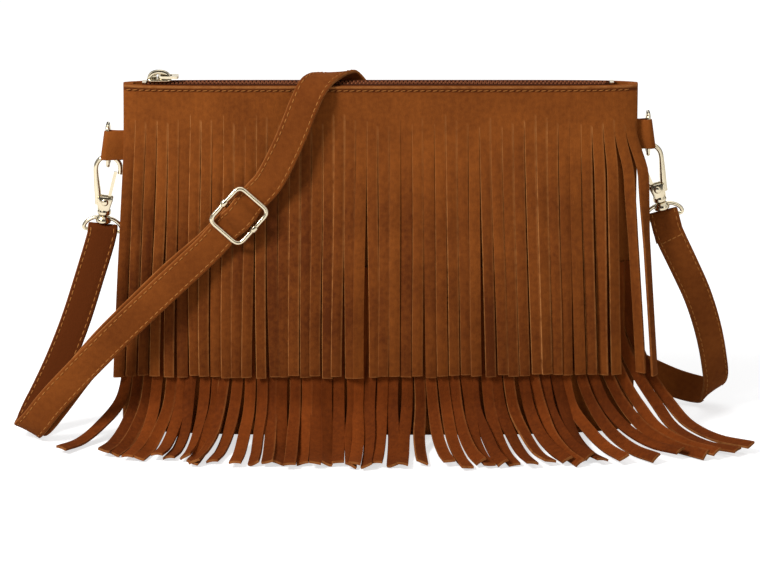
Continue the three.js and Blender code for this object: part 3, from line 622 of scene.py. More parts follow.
def panel(x, z):
    """Distance of the front or back panel from the middle plane."""
    bulge = 4 + 4 * smooth_step(belly_height, pouch_height, z)
    inside = np.clip(1 - np.abs(np.asarray(x, float) / half_width) ** bulge, 0, 1)
    return seam_depth / 2 + (pouch_depth(z) / 2 - seam_depth / 2) * inside ** (2 / 3)


def width_share(x, z):
    """The left side of the pouch leans in a little towards its mouth."""
    return 1.004 - 0.02 * smooth_step(40, pouch_height, z) * (np.asarray(x) < 0)


def base_inset(rise):
    return base_round - math.sqrt(max(base_round ** 2 - (base_round - min(rise, base_round)) ** 2, 0))


# %% Pouch shell
ring_columns = 72


def pouch_ring(z, panel_inset, seam_inset, rise, waves):
    turns = np.pi * np.arange(2 * ring_columns) / ring_columns
    x = half_width * np.cos(turns)
    side = -np.sign(np.round(np.sin(turns), 9))
    inset = panel_inset + base_inset(rise)
    y = panel(x, z) * (1 - inset / (pouch_depth(z) / 2))
    fullness = 1 - (x / half_width) ** 6
    slack = waves * fullness * smooth_step(0, 30, z) * smooth_step(pouch_height, pouch_height - 40, z)
    ripple = 0.9 * np.sin(x / 31 + z / 47)
    ripple += 0.7 * np.sin(x / 17 - z / 29 + 1.3)
    ripple += 0.5 * np.sin(z / 13 + x / 60)
    y = y - slack * (1.2 + ripple) * np.where(side > 0, 1.0, 0.25)
    spread = (1 - (seam_inset + base_inset(rise)) / half_width) * width_share(x, z)
    return np.column_stack([x * spread, y * side, np.full_like(x, z)])


def pouch_shell(bottom, top, wall, panel_inset, seam_inset, seam_wall, waves):
    low = [0, 0.25, 0.7, 1.4, 2.3, 3.5, 5]
    outside = [bottom + rise for rise in low] + list(np.linspace(bottom + 9, top, 40))
    rings = [pouch_ring(z, panel_inset, seam_inset, z - bottom, waves) for z in outside]
    floor_z = bottom + wall
    inner_seam = seam_inset + seam_wall
    inside = [floor_z + rise for rise in low] + list(np.linspace(floor_z + 9, top, 40))
    rings += [pouch_ring(z, panel_inset + wall, inner_seam, z - floor_z, waves) for z in inside[::-1]]
    sides = 2 * ring_columns
    faces = ring_faces(len(rings), sides)
    for ring in (0, len(rings) - 1):
        start = ring * sides
        for k in range(ring_columns):
            other = [start + (sides - k) % sides, start + sides - k - 1]
            face = [start + k, start + k + 1, other[1], other[0]]
            faces.append(tuple(dict.fromkeys(face)))
    return np.vstack(rings), faces


side_seam = 5
pouch_shape = pouch_shell(0, pouch_height, suede_thickness, 0, 0, side_seam, 1.0)
pouch = piece("pouch", pouch_shape, pouch_suede, "bag", ["pouch_body"], crease=50)

# %% Lining
lining_wall = 0.5
lining_inset = suede_thickness + 0.3
lining_top = 168
lining_seam = side_seam + 0.3
lining_shape = pouch_shell(lining_inset, lining_top, lining_wall, lining_inset, lining_seam, lining_wall, 1.0)
lining_bag = piece("lining_bag", lining_shape, lining_cloth, "bag", ["lining"], crease=50)

# %% [markdown]
# ## Cutting a fringe
# A fringe is one panel slit into strips that stay joined along the top. The mesh is made the same way: strips
# share their edge points above a slit and have their own below it. Each strip then leans, twists and lifts
# a little more the further it hangs, and its raw cut edges carry a mask that the suede turns pale, the left
# edges more than the right as a painted highlight.

# %% Fringe mesh
strip_count = 46
fringe_half = half_width - 0.6
fringe_thickness = 1.2
strip_columns = np.array([-1, -0.86, -0.45, 0.1, 0.6, 1])
tone_rows = 20
# The last row but one of a strip is this close to its cut end.
end_row = 0.7


def fringe_piece(name, strips, slit_rows, tones, edges, row_tone_and_shade, row_highlights, material, replaced):
    """One panel from each strip's front and back grids of points.

    slit_rows gives the row where each slit starts. The tones and edges say how dark each strip or row is and
    how pale its cut edges are. Left edges get more of the pale mask than right edges, a painted highlight,
    and the row marks carry painted shade in the sewn line and a painted highlight on the fold under the
    mouth."""
    fronts, backs = zip(*strips)
    rows, columns = fronts[0].shape[:2]
    points = []
    edge_and_highlight_mask = []
    tone_and_shade = []
    faces = []
    lookup = {}
    for i in range(strip_count):
        for r in range(rows):
            for c in range(columns):
                shared = c == 0 and i > 0 and r <= slit_rows[i]
                for face, grid in enumerate((fronts, backs)):
                    if shared:
                        lookup[face, i, r, c] = lookup[face, i - 1, r, columns - 1]
                        continue
                    lookup[face, i, r, c] = len(points)
                    points.append(grid[i][r, c])
                    slit = slit_rows[i] if c == 0 else slit_rows[i + 1]
                    loose = c in (0, columns - 1) and r > slit
                    # Cut edges are paler raw fibre. The left edge gets 1.0 and the right 0.4, a painted
                    # highlight where the lamp on the left catches it.
                    cut = 0.5 if r == rows - 1 else edges[i] * (1.0 if c == 0 else 0.4) * loose
                    edge_and_highlight_mask.append(max(cut, row_highlights[r]))
                    settled = min(max(r - max(slit_rows[i], slit_rows[i + 1]), 0) / tone_rows, 1)
                    tone_and_shade.append(tones[i] * settled + row_tone_and_shade[r])

    def face_through(i, *corners):
        faces.append(tuple(lookup[face, i, r, c] for face, r, c in corners))

    for i in range(strip_count):
        for r in range(rows - 1):
            for c in range(columns - 1):
                face_through(i, (0, r, c), (0, r + 1, c), (0, r + 1, c + 1), (0, r, c + 1))
                face_through(i, (1, r, c), (1, r, c + 1), (1, r + 1, c + 1), (1, r + 1, c))
            for c, slit in ((0, slit_rows[i]), (columns - 1, slit_rows[i + 1])):
                if r >= slit:
                    face_through(i, (0, r, c), (1, r, c), (1, r + 1, c), (0, r + 1, c))
        for r in (0, rows - 1):
            for c in range(columns - 1):
                face_through(i, (0, r, c), (0, r, c + 1), (1, r, c + 1), (1, r, c))
    obj = piece(name, (points, faces), material, "bag", replaced, crease=60)
    mark_points(obj, {"cut_edge_and_highlight": edge_and_highlight_mask, "tone_and_shade": tone_and_shade})
    return obj


# %% [markdown]
# ## Upper fringe
# The upper tier hangs from the mouth. Its slits start at slightly different heights under a plain band, and
# most strips hang side by side. Here and there two strips part and leave a dark line, the right half drifts
# to the right, and the last few strips slip off the end of the pouch.

# %% Rows of the upper fringe
upper_end = 34
lower_top = 90
seat_gap = 0.3
# Under the mouth the fold stands a little proud and the sewn line is pressed in.
mouth_row = 178.0
fold_row = 179.4
seam_half = 0.7
upper_levels = np.concatenate([np.arange(pouch_height, 174, -0.6), np.arange(174, 150, -1.5),
                               np.arange(150, upper_end + 1, -4.0),
                               [upper_end + end_row, upper_end]])
boundaries = np.linspace(-fringe_half, fringe_half, strip_count + 1)
strip_half = fringe_half / strip_count
print(len(upper_levels), "rows of points,", strip_count, "strips")

# %% Where upper strips part
upper_chance = random.Random(11)
# Where strips part: the slit's place across the front, the height it opens from and its width at the ends.
partings = [
    (-109, 120, 1.2), (-101, 128, 1.6), (-94, 70, 2.2), (-87, 150, 1.0), (-63, 104, 2.6), (-54, 96, 2.0),
    (-41, 110, 1.2), (-30, 120, 1.2), (-16, 108, 2.6), (-4, 150, 4.4), (3, 110, 1.6), (24, 80, 0.9),
    (49, 140, 2.2), (72, 70, 0.9), (98, 110, 2.0), (104, 120, 1.6), (110, 130, 1.6), (118, 140, 3.2),
]
parting_reach = 12
# The last strips at the right slip off the end of the pouch: how far they move, and how they turn edge on.
end_leans = {0: 9.6, 1: 6.6, 2: 2.6, 3: 1.2}
end_turns = {0: -56, 1: 46, 2: -28, 3: 12}
drifts = [upper_chance.uniform(-1, 1) for _ in range(strip_count + 4)]
slit_gaps = [max(0, upper_chance.uniform(-0.12, 0.34)) for _ in range(strip_count + 1)]
print(len(partings), "partings")


def upper_lean(i, middle, reach):
    """How far a strip has moved sideways at each share of its hang."""
    drift = 0.9 * sum(drifts[i:i + 5]) / 5
    drift += 3.4 * smooth_step(0, 70, middle) - 4.8 * smooth_step(-95, -129, middle)
    slipped = end_leans.get(strip_count - 1 - i, 0) * (0.55 * smooth_step(0, 0.2, reach) + 0.45 * reach)
    lean = drift * reach ** 1.25 + slipped
    for place, height, opening in partings:
        away = middle - place
        if abs(away) < parting_reach:
            opened = smooth_step(0, 1, reach * 1.2 - (1 - height / 168))
            lean = lean + math.copysign(opening / 2, away) * (1 - abs(away) / parting_reach) * opened
    return lean


# %% One upper strip
def upper_strip(i, slit_heights):
    left = boundaries[i]
    right = boundaries[i + 1]
    middle = (left + right) / 2
    free_from = min(slit_heights[i], slit_heights[i + 1]) - 2
    hang = np.clip(free_from - upper_levels, 0, None)
    reach = hang / (free_from - upper_end)
    twist = math.radians(upper_chance.uniform(-13, 3)) * smooth_step(0, 45, hang)
    twist = twist + math.radians(upper_chance.uniform(-8, 6)) * smooth_step(40, 120, hang)
    twist = twist + math.radians(end_turns.get(strip_count - 1 - i, 0)) * smooth_step(8, 60, hang)
    layer = upper_chance.uniform(0.1, 0.9) * smooth_step(0, 45, hang)
    flare = upper_chance.uniform(0, 0.8) * reach ** 2
    sway = upper_chance.uniform(-0.25, 0.25) * np.sin(np.pi * reach * upper_chance.uniform(1, 2))
    set_back = belly_depth / 2 - float(panel(middle, upper_end))
    longer = (upper_chance.uniform(-0.8, 0.8) + 0.24 * set_back - 0.014 * max(middle, 0)) * reach
    camber = upper_chance.uniform(0.2, 0.55) * smooth_step(0, 25, hang)

    slit_left = 0.05 * smooth_step(0, 8, slit_heights[i] - upper_levels) + slit_gaps[i] * reach
    slit_right = 0.05 * smooth_step(0, 8, slit_heights[i + 1] - upper_levels) + slit_gaps[i + 1] * reach
    left_edge = left + slit_left
    right_edge = right - slit_right
    u = strip_columns[None, :]
    share = width_share(middle, upper_levels)
    half = ((right_edge - left_edge) / 2 * share)[:, None]
    flat_centre = ((right_edge + left_edge) / 2)[:, None]
    centre = flat_centre * share[:, None] + (upper_lean(i, middle, reach) + sway)[:, None]
    twist = twist[:, None]
    z = (upper_levels - longer)[:, None]
    x = centre + half * u * np.cos(twist)
    loose = smooth_step(0, 30, hang)[:, None]
    flat_x = np.clip(flat_centre + half * u, -fringe_half, fringe_half)
    centre_x = np.clip(flat_centre, -fringe_half, fringe_half)
    rest = panel(flat_x, z) * (1 - loose) + panel(centre_x, z) * loose
    over_lower = 1.6 * (1 - smooth_step(lower_top + 5, lower_top + 14, z))
    lift = (layer + flare + half[:, 0] * np.abs(np.sin(twist[:, 0])))[:, None]
    out = rest + seat_gap + fringe_thickness + over_lower + lift + half * u * np.sin(twist)
    out = out + camber[:, None] * (0.45 - u ** 2)
    out = out + 0.3 * smooth_step(fold_row - 0.6, fold_row, z)
    out = out - 0.35 * np.exp(-((z - mouth_row) / seam_half) ** 2)
    front = np.stack([x, -out, z + 0 * x], axis=-1)
    inward = np.stack([np.sin(twist) + 0 * x, np.cos(twist) + 0 * x, 0 * x], axis=-1)
    return front, front + inward * fringe_thickness


# %% Upper fringe panel
# Each slit starts at the nearest row. The panel's two ends are cut from top to bottom.
slit_starts = [upper_chance.uniform(160, 167) for _ in range(strip_count - 1)]
slit_rows = [int(np.argmin(np.abs(upper_levels - start))) for start in slit_starts]
upper_slits = [-1, *slit_rows, -1]
slit_heights = [pouch_height, *upper_levels[slit_rows], pouch_height]
upper_strips = [upper_strip(i, slit_heights) for i in range(strip_count)]
upper_tones = [upper_chance.uniform(0.0, 0.36) for _ in range(strip_count)]
upper_edges = [max(0, upper_chance.uniform(-0.1, 1.3)) for _ in range(strip_count)]
# Under the mouth: a painted highlight on the proud fold and painted shade in the pressed sewn line. The
# strips also get darker the further down they hang.
painted_fold_highlight = 0.6 * smooth_step(fold_row - 0.5, fold_row, upper_levels)
painted_seam_shade = 0.9 * np.exp(-((upper_levels - mouth_row) / seam_half) ** 2)
hang_tones = 0.16 * smooth_step(168, 60, upper_levels)
upper_fringe = fringe_piece("upper_fringe_panel", upper_strips, upper_slits, upper_tones, upper_edges,
                            painted_seam_shade + hang_tones, painted_fold_highlight, upper_suede, ["upper_fringe"])

# %% [markdown]
# ## Lower fringe
# The lower tier is sewn on under the upper one and is longer than the pouch, so its strips turn onto the
# floor and fan out. Each strip follows its own smooth line: down the panel, round a soft bend and along the
# floor to a tip, further sideways the nearer it is to an end.

# %% Where lower tips lie
lower_chance = random.Random(23)
middle_reach = 76
side_reach = 51
floor_clear = 0.3
# Strips lie on the floor in bunches of three, each bunch pushed a little to one side.
bunch_size = 3
bunches = [lower_chance.uniform(-3.6, 3.6) for _ in range(strip_count // bunch_size + 1)]
# A tip lies to the side of where its strip hangs. Each step adds so much between two places across the front.
tip_steps = [(15, 12, 34), (13, 48, 84), (25, 88, 108), (7, 117, 124),
             (-3, -30, -60), (-10, -62, -76), (-7, -86, -112), (-16, -120, -127)]
print(len(bunches), "bunches of strips")


def lower_line(i):
    x = (boundaries[i] + boundaries[i + 1]) / 2
    outward = abs(x / fringe_half) ** 3
    drift = sum(step * float(smooth_step(start, end, x)) for step, start, end in tip_steps)
    drift += bunches[i // bunch_size] + lower_chance.uniform(-1.2, 1.2)
    tip = -(middle_reach + (side_reach - middle_reach) * outward) + lower_chance.uniform(-1, 7)
    hung_x = x * float(width_share(x, lower_top))

    def face(z):
        return -(float(panel(x, z)) + seat_gap + fringe_thickness)

    bend = face(15) - 7
    lie = floor_clear + fringe_thickness + 1.3 * (i % 2) + lower_chance.uniform(0, 0.5)
    early = lower_chance.uniform(0.8, 1.1)
    ahead = outward ** 3 * (1.0 if x > 0 else -0.25)
    bow = lower_chance.uniform(-1.2, 1.2)
    stops = [
        (hung_x, face(90), 90),
        (hung_x, face(74), 74),
        (hung_x, face(58), 58),
        (hung_x + (0.03 + 0.06 * ahead) * drift * early, face(44), 44),
        (hung_x + (0.10 + 0.11 * ahead) * drift * early + bow, face(30) - 0.6, 30),
        (hung_x + (0.24 + 0.12 * ahead) * drift * early + bow, face(18) - 2.6, 16),
        (hung_x + (0.45 + 0.06 * ahead) * drift, bend + (tip - bend) * 0.22, 6 + lie * 0.5),
        (hung_x + 0.72 * drift, bend + (tip - bend) * 0.6, lie + 0.4),
        (hung_x + drift, tip, lie + lower_chance.uniform(0, 1.2)),
    ]
    line = smooth_curve(stops, 5)
    near_tip = line[-1] + unit(line[-2] - line[-1]) * end_row
    return np.vstack([line[:-1], near_tip, line[-1:]])


# %% One lower strip
def lower_strip(i):
    line = lower_line(i)
    along = unit(np.gradient(line, axis=0))
    fallen = smooth_step(24, 3, line[:, 2])[:, None]
    # A strip that runs far sideways leans back on its edge instead of lying flat.
    lean = 0.5 * float(smooth_step(12, 34, abs(line[-1, 0] - line[0, 0])))
    line[:, 2] += strip_half * math.sin(lean) * fallen[:, 0]
    lying = np.array([0, -math.sin(lean), math.cos(lean)])
    facing = np.array([0, -1, 0]) * (1 - fallen) + lying * fallen
    facing = unit(facing - along * np.sum(facing * along, axis=1)[:, None])
    across = np.cross(facing, along)
    loose = smooth_step(70, 20, line[:, 2]) + fallen[:, 0]
    roll = math.radians(lower_chance.uniform(-16, 16)) * loose[:, None]
    turned_across = across * np.cos(roll) + facing * np.sin(roll)
    turned_facing = facing * np.cos(roll) - across * np.sin(roll)
    half = strip_half - 0.06 * smooth_step(84, 78, line[:, 2]) + 0.3 * fallen[:, 0]
    camber = lower_chance.uniform(-0.2, 0.45) * (loose - 0.6 * fallen[:, 0])
    grid = line[:, None, :] + (half[:, None] * strip_columns)[..., None] * turned_across[:, None, :]
    grid = grid + (camber[:, None] * (0.45 - strip_columns ** 2))[..., None] * turned_facing[:, None, :]
    back = grid - turned_facing[:, None, :] * fringe_thickness
    sunk = np.clip(floor_clear - back[..., 2], 0, None)
    grid[..., 2] += sunk
    back[..., 2] += sunk
    return grid, back


# %% Lower fringe panel
lower_strips = [lower_strip(i) for i in range(strip_count)]
sewn_rows = 2
for i in range(1, strip_count):
    for before, after in zip(lower_strips[i - 1], lower_strips[i]):
        meet = (before[:sewn_rows + 1, -1] + after[:sewn_rows + 1, 0]) / 2
        before[:sewn_rows + 1, -1] = meet
        after[:sewn_rows + 1, 0] = meet
lower_tones = [lower_chance.uniform(0.0, 0.5) for _ in range(strip_count)]
lower_edges = [max(0, lower_chance.uniform(-0.6, 0.7)) for _ in range(strip_count)]
lower_slits = [-1] + [sewn_rows] * (strip_count - 1) + [-1]
plain_rows = np.zeros(len(lower_strips[0][0]))
lower_fringe = fringe_piece("lower_fringe_panel", lower_strips, lower_slits, lower_tones, lower_edges,
                            plain_rows, plain_rows, lower_suede, ["lower_fringe"])

# %% [markdown]
# ## Stitches
# A sewn line is a row of short stitches that dive into the suede at both ends. Each is a small spindle of tan
# thread, set along its line with a slight slant, and all the stitches of a seam are one mesh.

# %% Stitch helper
stitch_length = 2.7
stitch_sides = 6
# Along the stitch: the share of its length, how thick it is and how far it stands out, in radii.
stitch_profile = [(-0.5, 0.25, -0.5), (-0.3, 0.9, 0.1), (0.0, 1.0, 0.3), (0.3, 0.9, 0.1), (0.5, 0.25, -0.5)]


def stitches(places, radius):
    """One mesh of spindles from (point, along, outward) places."""
    faces = ring_faces(len(stitch_profile), stitch_sides, capped=True)
    shapes = []
    for point, along, outward in places:
        side = np.cross(outward, along)
        rings = []
        for share, thick, rise in stitch_profile:
            centre = point + along * (share * stitch_length) + outward * (rise * radius)
            for u, v in circle(radius * thick, stitch_sides):
                rings.append(centre + side * u + outward * v * 0.8)
        shapes.append((np.array(rings), faces))
    return joined(shapes)


# %% Mouth stitching
mouth_thread = 0.26
mouth_pitch = 3.2
mouth_slant = 0.16
mouth_sewn_half = 125


def mouth_places(side, proud):
    def spot(x):
        return np.array([x, side * (float(panel(x, mouth_row)) + proud), mouth_row])

    places = []
    for x in np.arange(-mouth_sewn_half, mouth_sewn_half + 0.1, mouth_pitch):
        along = unit(spot(x + 0.5) - spot(x - 0.5) + np.array([0, 0, mouth_slant]))
        outward = unit(np.array([-along[1] * side, along[0] * side, 0]))
        places.append((spot(x), along, outward))
    return places


front_proud = seat_gap + fringe_thickness
mouth_stitches = stitches(mouth_places(-1, front_proud) + mouth_places(1, 0), mouth_thread)
piece("mouth_stitching", mouth_stitches, thread, "bag")

# %% [markdown]
# ## Zip
# The zip is a nylon coil: two rows of small loops, one on each side of the middle. From above it reads as a
# brown chain, so each loop is a rounded bar across its row, the two rows half a step apart. The slider is
# cast metal with a domed bridge, and the pull is a short tongue that hangs on it.

# %% Zip coil
coil_pitch = 2.0
coil_section = [(0.6 * u, 0.8 * v) for u, v in circle(1.0, 8)]
# Across its row each bar rises to a flat top: shares of the row's width, and heights.
coil_arch = [(-0.5, -0.35), (-0.42, 0.1), (-0.2, 0.32), (0.2, 0.32), (0.42, 0.1), (0.5, -0.35)]
# The bars stop short of the middle, where the slider's post runs between the rows.
post_room = 0.4
cord_radius = 0.5


def coil_row(node, shift):
    low, high = in_mm(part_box(node))
    middle_y = (low[1] + high[1]) / 2
    middle_z = (low[2] + high[2]) / 2
    middle_y += math.copysign(post_room / 2, middle_y)
    reach = high[1] - low[1] - post_room
    bars = []
    for x in np.arange(low[0] + coil_pitch / 2 + shift, high[0] - coil_pitch / 2, coil_pitch):
        line = [(x, middle_y + reach * share, middle_z + lift) for share, lift in coil_arch]
        bars.append(sweep(line, coil_section, along_x))
    cord = [(x, middle_y, middle_z - cord_radius) for x in (low[0], high[0])]
    bars.append(sweep(cord, circle(cord_radius, 8), along_z))
    return joined(bars)


for row, shift in (("front", 0), ("back", coil_pitch / 2)):
    teeth = f"zip_teeth_{row}"
    piece(f"zip_coil_{row}", coil_row(teeth, shift), coil_nylon, "bag", [teeth])

# %% Plates and CAD finishes
def slab(outline, low, high, edge):
    """A flat outline of (x, y) points with a thickness along Z and softened edges."""
    outline = np.asarray(outline, float)
    middle = outline.mean(axis=0)
    size = np.ptp(outline, axis=0)
    rings = []
    cut = edge * 0.3
    levels = [(edge, low), (cut, low + cut), (0, low + edge)]
    levels += [(0, high - edge), (cut, high - cut), (edge, high)]
    for inset, z in levels:
        drawn = middle + (outline - middle) * (1 - 2 * inset / size)
        rings.append(np.column_stack([drawn, np.full(len(drawn), z)]))
    return np.vstack(rings), ring_faces(len(rings), len(outline), capped=True)


def box_outline(half_x, half_y, corner):
    return rounded_loop([(-half_x, -half_y), (half_x, -half_y), (half_x, half_y), (-half_x, half_y)], corner)


def cad_finish(node, material, edge=0.0):
    """Gives a CAD node its material and, where asked, softened edges."""
    obj = frame["nodes"][node]
    obj.data.materials.clear()
    obj.data.materials.append(material)
    if edge:
        soft = obj.modifiers.new("soft edges", "BEVEL")
        soft.width = edge * MM
        soft.segments = 3
        soft.limit_method = "ANGLE"
        soft.angle_limit = math.radians(40)


# %% Slider and pull
slider_low, slider_high = in_mm(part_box("zip_slider"))
slider_at = Matrix.Translation(((slider_low[0] + slider_high[0]) / 2, 0, 0))
slider_half = (slider_high[0] - slider_low[0]) / 2
slider_wide = slider_high[1]
slider_plate = 1.2
plate_top = 182.5
bridge_half = 4.8
bridge_rise = 3.4
bridge_foot = plate_top - 0.2
bridge_line = [(bridge_half * math.cos(t), 0, bridge_foot + bridge_rise * math.sin(t) ** 0.8)
               for t in np.linspace(0, np.pi, 17)]
# The bridge is closed on both sides of the pull's bar.
web_corners = [(1.3, -0.3), (4.6, -0.3), (3.4, 2), (1.3, 2.6)]
bridge_webs = [rounded_loop([(side * u, plate_top + v) for u, v in web_corners], 0.4) for side in (-1, 1)]
slider_outline = box_outline(slider_half, slider_wide, 2.6)
wedge = slab(box_outline(1, 0.28, 0.2), slider_low[2] + 0.6, plate_top - 0.6, 0.1)
slider = joined([
    slab(slider_outline, plate_top - slider_plate, plate_top, 0.4),
    slab(slider_outline, slider_low[2], slider_low[2] + slider_plate, 0.4),
    moved(wedge, Matrix.Translation((2 - slider_half, 0, 0))),
    sweep(bridge_line, soft_bar(2.3, 2.4, 0.7), along_y),
    *(upright(slab(web, -0.5, 0.5, 0.2)) for web in bridge_webs),
])
piece("slider", moved(slider, slider_at), gold, "zip_slider", ["zip_slider"], crease=40)
cad_finish("zip_pull", gold, 0.3)
for end in ("left", "right"):
    cad_finish(f"zip_stop_{end}", gold, 0.3)
for side in ("front", "back"):
    cad_finish(f"zip_tape_{side}", tape_cloth)

# %% [markdown]
# ## Clips
# Each end of the strap clips to the pouch. A suede tab sewn in the side seam holds a D-ring, a snap hook
# hangs in the ring, and a swivel eye under the hook carries the strap. Bent wire is a swept circle, turned
# parts are lathed, and the hook's cast base is softened plates with the gate's slot between its cheeks.

# %% Clip places
joints = {joint["name"]: joint for joint in frame["joints"]}


def clip_frame(side):
    """The hook's own frame: Z up its swivel axis, Y back, the origin at the middle of its base."""
    axis = Vector(joints[f"{side}_hook_swivel"]["axis"]).normalized()
    base = Vector(joints[f"{side}_hook_swivel"]["pos_m"]) / MM
    across = Vector((0, 1, 0)).cross(axis)
    turn = Matrix((across, Vector((0, 1, 0)), axis)).transposed().to_4x4()
    return Matrix.Translation(base) @ turn


clip_frames = {side: clip_frame(side) for side in ("left", "right")}
print({side: [round(v, 2) for v in place.translation] for side, place in clip_frames.items()})

# %% Tabs and D-rings
strap_width = 15.0
ring_wire = 1.0
ring_half = 10.2
ring_arm = 8.0
ring_depth = 13.0
tab_flare = 0.1
tab_fold = 2.05
ring_bend = [(ring_arm + (ring_depth - ring_arm) * math.cos(t), ring_half * math.sin(t))
             for t in np.linspace(-np.pi / 2, np.pi / 2, 25)]
ring_outline = [
    (ring_wire * 1.6, -ring_half), *ring_bend, (ring_wire * 1.6, ring_half), (0.45, ring_half - 0.45),
    (0, ring_half - 1.6), (0, 0), (0, 1.6 - ring_half), (0.45, 0.45 - ring_half),
]


def tab_loop(side, middle_z, bar_x):
    sign = -1 if side == "left" else 1
    around = [(bar_x + tab_fold * math.sin(t), -tab_fold * math.cos(t), 0) for t in np.linspace(0, np.pi, 13)]
    line = [(half_width - 3, -0.8, 0), (half_width + 1.5, -0.9, 0), *around,
            (half_width + 1.5, 0.9, 0), (half_width - 3, 0.8, 0)]
    points, faces = sweep(line, soft_bar(1.3, strap_width, 0.5), along_z)
    outside = np.clip(points[:, 0] - half_width, 0, None) / (bar_x - half_width)
    points[:, 0] -= tab_flare * points[:, 2] * outside
    return points * (sign, 1, 1) + (0, 0, middle_z), faces


for side in ("left", "right"):
    bar_x = joints[f"{side}_ring_swing"]["pos_m"][0] / MM
    tab_low, tab_high = in_mm(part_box(f"{side}_tab"))
    tab_shape = tab_loop(side, (tab_low[2] + tab_high[2]) / 2, abs(bar_x))
    tab = piece(f"{side}_tab_loop", tab_shape, pouch_suede, "bag", [f"{side}_tab"], crease=60)
    ring_low, ring_high = in_mm(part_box(f"{side}_d_ring"))
    ring_middle = (ring_low[2] + ring_high[2]) / 2
    ring_line = [(bar_x, y, ring_middle + z) for y, z in ring_outline]
    ring = sweep(ring_line, circle(ring_wire, 16), along_x, closed=True)
    piece(f"{side}_ring_wire", ring, gold, f"{side}_ring", [f"{side}_d_ring"])

# %% Turned parts and the eye
# Turned parts: (radius, height) down or up the axis.
socket_profile = [(0, 3.7), (2.0, 3.7), (2.8, 3.4), (3.3, 2.7), (3.5, 1.7), (3.5, 0.9), (3.2, 0.3),
                  (2.4, 0.1), (0, 0.1)]
rivet_profile = [(0, -3.95), (1.0, -3.9), (1.6, -3.65), (1.8, -3.4), (1.8, -3.15), (1.0, -3.15),
                 (1.0, 3.15), (1.8, 3.15), (1.8, 3.4), (1.6, 3.65), (1.0, 3.9), (0, 3.95)]
collar_profile = [(0, 3.0), (2.1, 3.0), (2.1, 1.6), (1.2, 1.6), (1.2, -0.2), (2.3, -0.25), (2.9, -0.6),
                  (3.4, -1.3), (3.9, -2.3), (4.1, -3.2), (3.8, -3.8), (2.6, -4.0), (0, -4.05)]
eye_bar_drop = 8.2
eye_side = 9.6
eye_rise = 6.2
eye_shoulder = -7.4
eye_wire = 1.0
eye_arch = [(eye_side * math.cos(t), eye_rise * math.sin(t) + eye_shoulder)
            for t in np.linspace(0, np.pi, 33)]
eye_half_foot = [(0.6 - eye_side, 0.1 - eye_bar_drop), (1.5 - eye_side, -eye_bar_drop)]
eye_foot = [*eye_half_foot, (0, -eye_bar_drop), *((-u, v) for u, v in eye_half_foot[::-1])]
eye_line = [(x, 0, z) for x, z in eye_arch + eye_foot]
print("eye", len(eye_line), "points round its wire")

# %% Hook shape
base_height = 9.8
base_thick = 6.4
cheek_half = 4.3
slot_half = 1.7
slot_floor = 4.2
slot_side = 2.8
bow_radius = 6.2
bow_middle = 24.3
bow_wire = 1.25


def hook_shape(sign):
    """A bow of wire that thickens down its back, two cheeks for the gate, and a round socket under them."""
    stops = [(3.3, 5.2), (3.9, 9.8), (5.6, bow_middle - 5)]
    for t in np.linspace(0, np.pi, 9):
        stops.append((bow_radius * math.cos(t), bow_middle + bow_radius * math.sin(t)))
    stops.append((-bow_radius, bow_middle - 2.4))
    line = smooth_curve([(sign * x, 0, z) for x, z in stops], 4)
    thick = 1 + 0.4 * smooth_step(bow_middle, base_height, line[:, 2]) * (sign * line[:, 0] > 0)
    bow = sweep(line, circle(bow_wire, 16), along_y, scale=thick)
    cheek_corners = [(-2.5, 2.2), (2.5, 2.2), (cheek_half, base_height), (-cheek_half, base_height)]
    cheek = rounded_loop(cheek_corners, 1.8)
    foot = rounded_loop([(-2.4, 1.0), (2.4, 1.0), (3.0, slot_floor), (-3.0, slot_floor)], 0.8)
    column_top = base_height - 0.5
    column_corners = [(slot_side, 2.4), (3.4, 2.4), (4.2, column_top), (slot_side, column_top)]
    column = rounded_loop([(sign * x, z) for x, z in column_corners], 0.4)
    filled = slot_half + 0.3
    plates = [
        slab(cheek, -base_thick / 2, -slot_half, 0.5),
        slab(cheek, slot_half, base_thick / 2, 0.5),
        slab(foot, -filled, filled, 0.2),
        slab(column, -filled, filled, 0.2),
    ]
    return joined([bow, lathe(socket_profile), *(upright(plate) for plate in plates)])


# %% Snap hooks
rivet_height = 7.0
for side, sign in (("left", -1), ("right", 1)):
    place = clip_frames[side]
    hook = f"{side}_hook"
    pin = moved(upright(lathe(rivet_profile)), Matrix.Translation((0, 0, rivet_height)))
    eye = joined([lathe(collar_profile), sweep(eye_line, circle(eye_wire, 14), along_y, closed=True)])
    for name, shape, body, node in (
        (f"{side}_hook_casting", hook_shape(sign), hook, hook),
        (f"{side}_rivet", pin, hook, f"{side}_gate_rivet"),
        (f"{side}_eye", eye, "bag", f"{side}_swivel_eye"),
    ):
        piece(name, moved(shape, place), gold, body, [node], crease=40)
    cad_finish(f"{side}_gate", gold, 0.25)
    cad_finish(f"{side}_gate_spring", gold)

# %% [markdown]
# ## Buckle
# The strap is set to length by a slide: an open wire frame that lies on the strap, with a bar under it whose
# two curled ends ride on the frame's sides. The frame can shift a little along the strap, so it is a piece of
# its own, and the bar stays with the strap.

# %% Buckle
buckle_run = unit(np.array(joints["buckle_slide"]["axis"], float))
if buckle_run[2] > 0:
    buckle_run = -buckle_run
buckle_across = np.array([0.74, 0, -0.67])
buckle_across = unit(buckle_across - buckle_run * buckle_across.dot(buckle_run))
buckle_face = np.cross(buckle_run, buckle_across)
buckle_middle = np.array([-69.5, -27, 118])
buckle_half = 11.4
buckle_side = 9.9
buckle_wire = 1.1
buckle_fuller = 0.2
bar_drop = 2.6
bar_radius = 1.1
knob_sides = 24
# A curled end of the bar, as (radius, height) rings round the frame's wire.
knob_profile = [(1.4, -1.6), (1.95, -1.35), (2.1, -0.6), (2.1, 0.6), (1.95, 1.35), (1.4, 1.6)]


def on_buckle(along, across, proud):
    return buckle_middle + buckle_run * along + buckle_across * across + buckle_face * proud


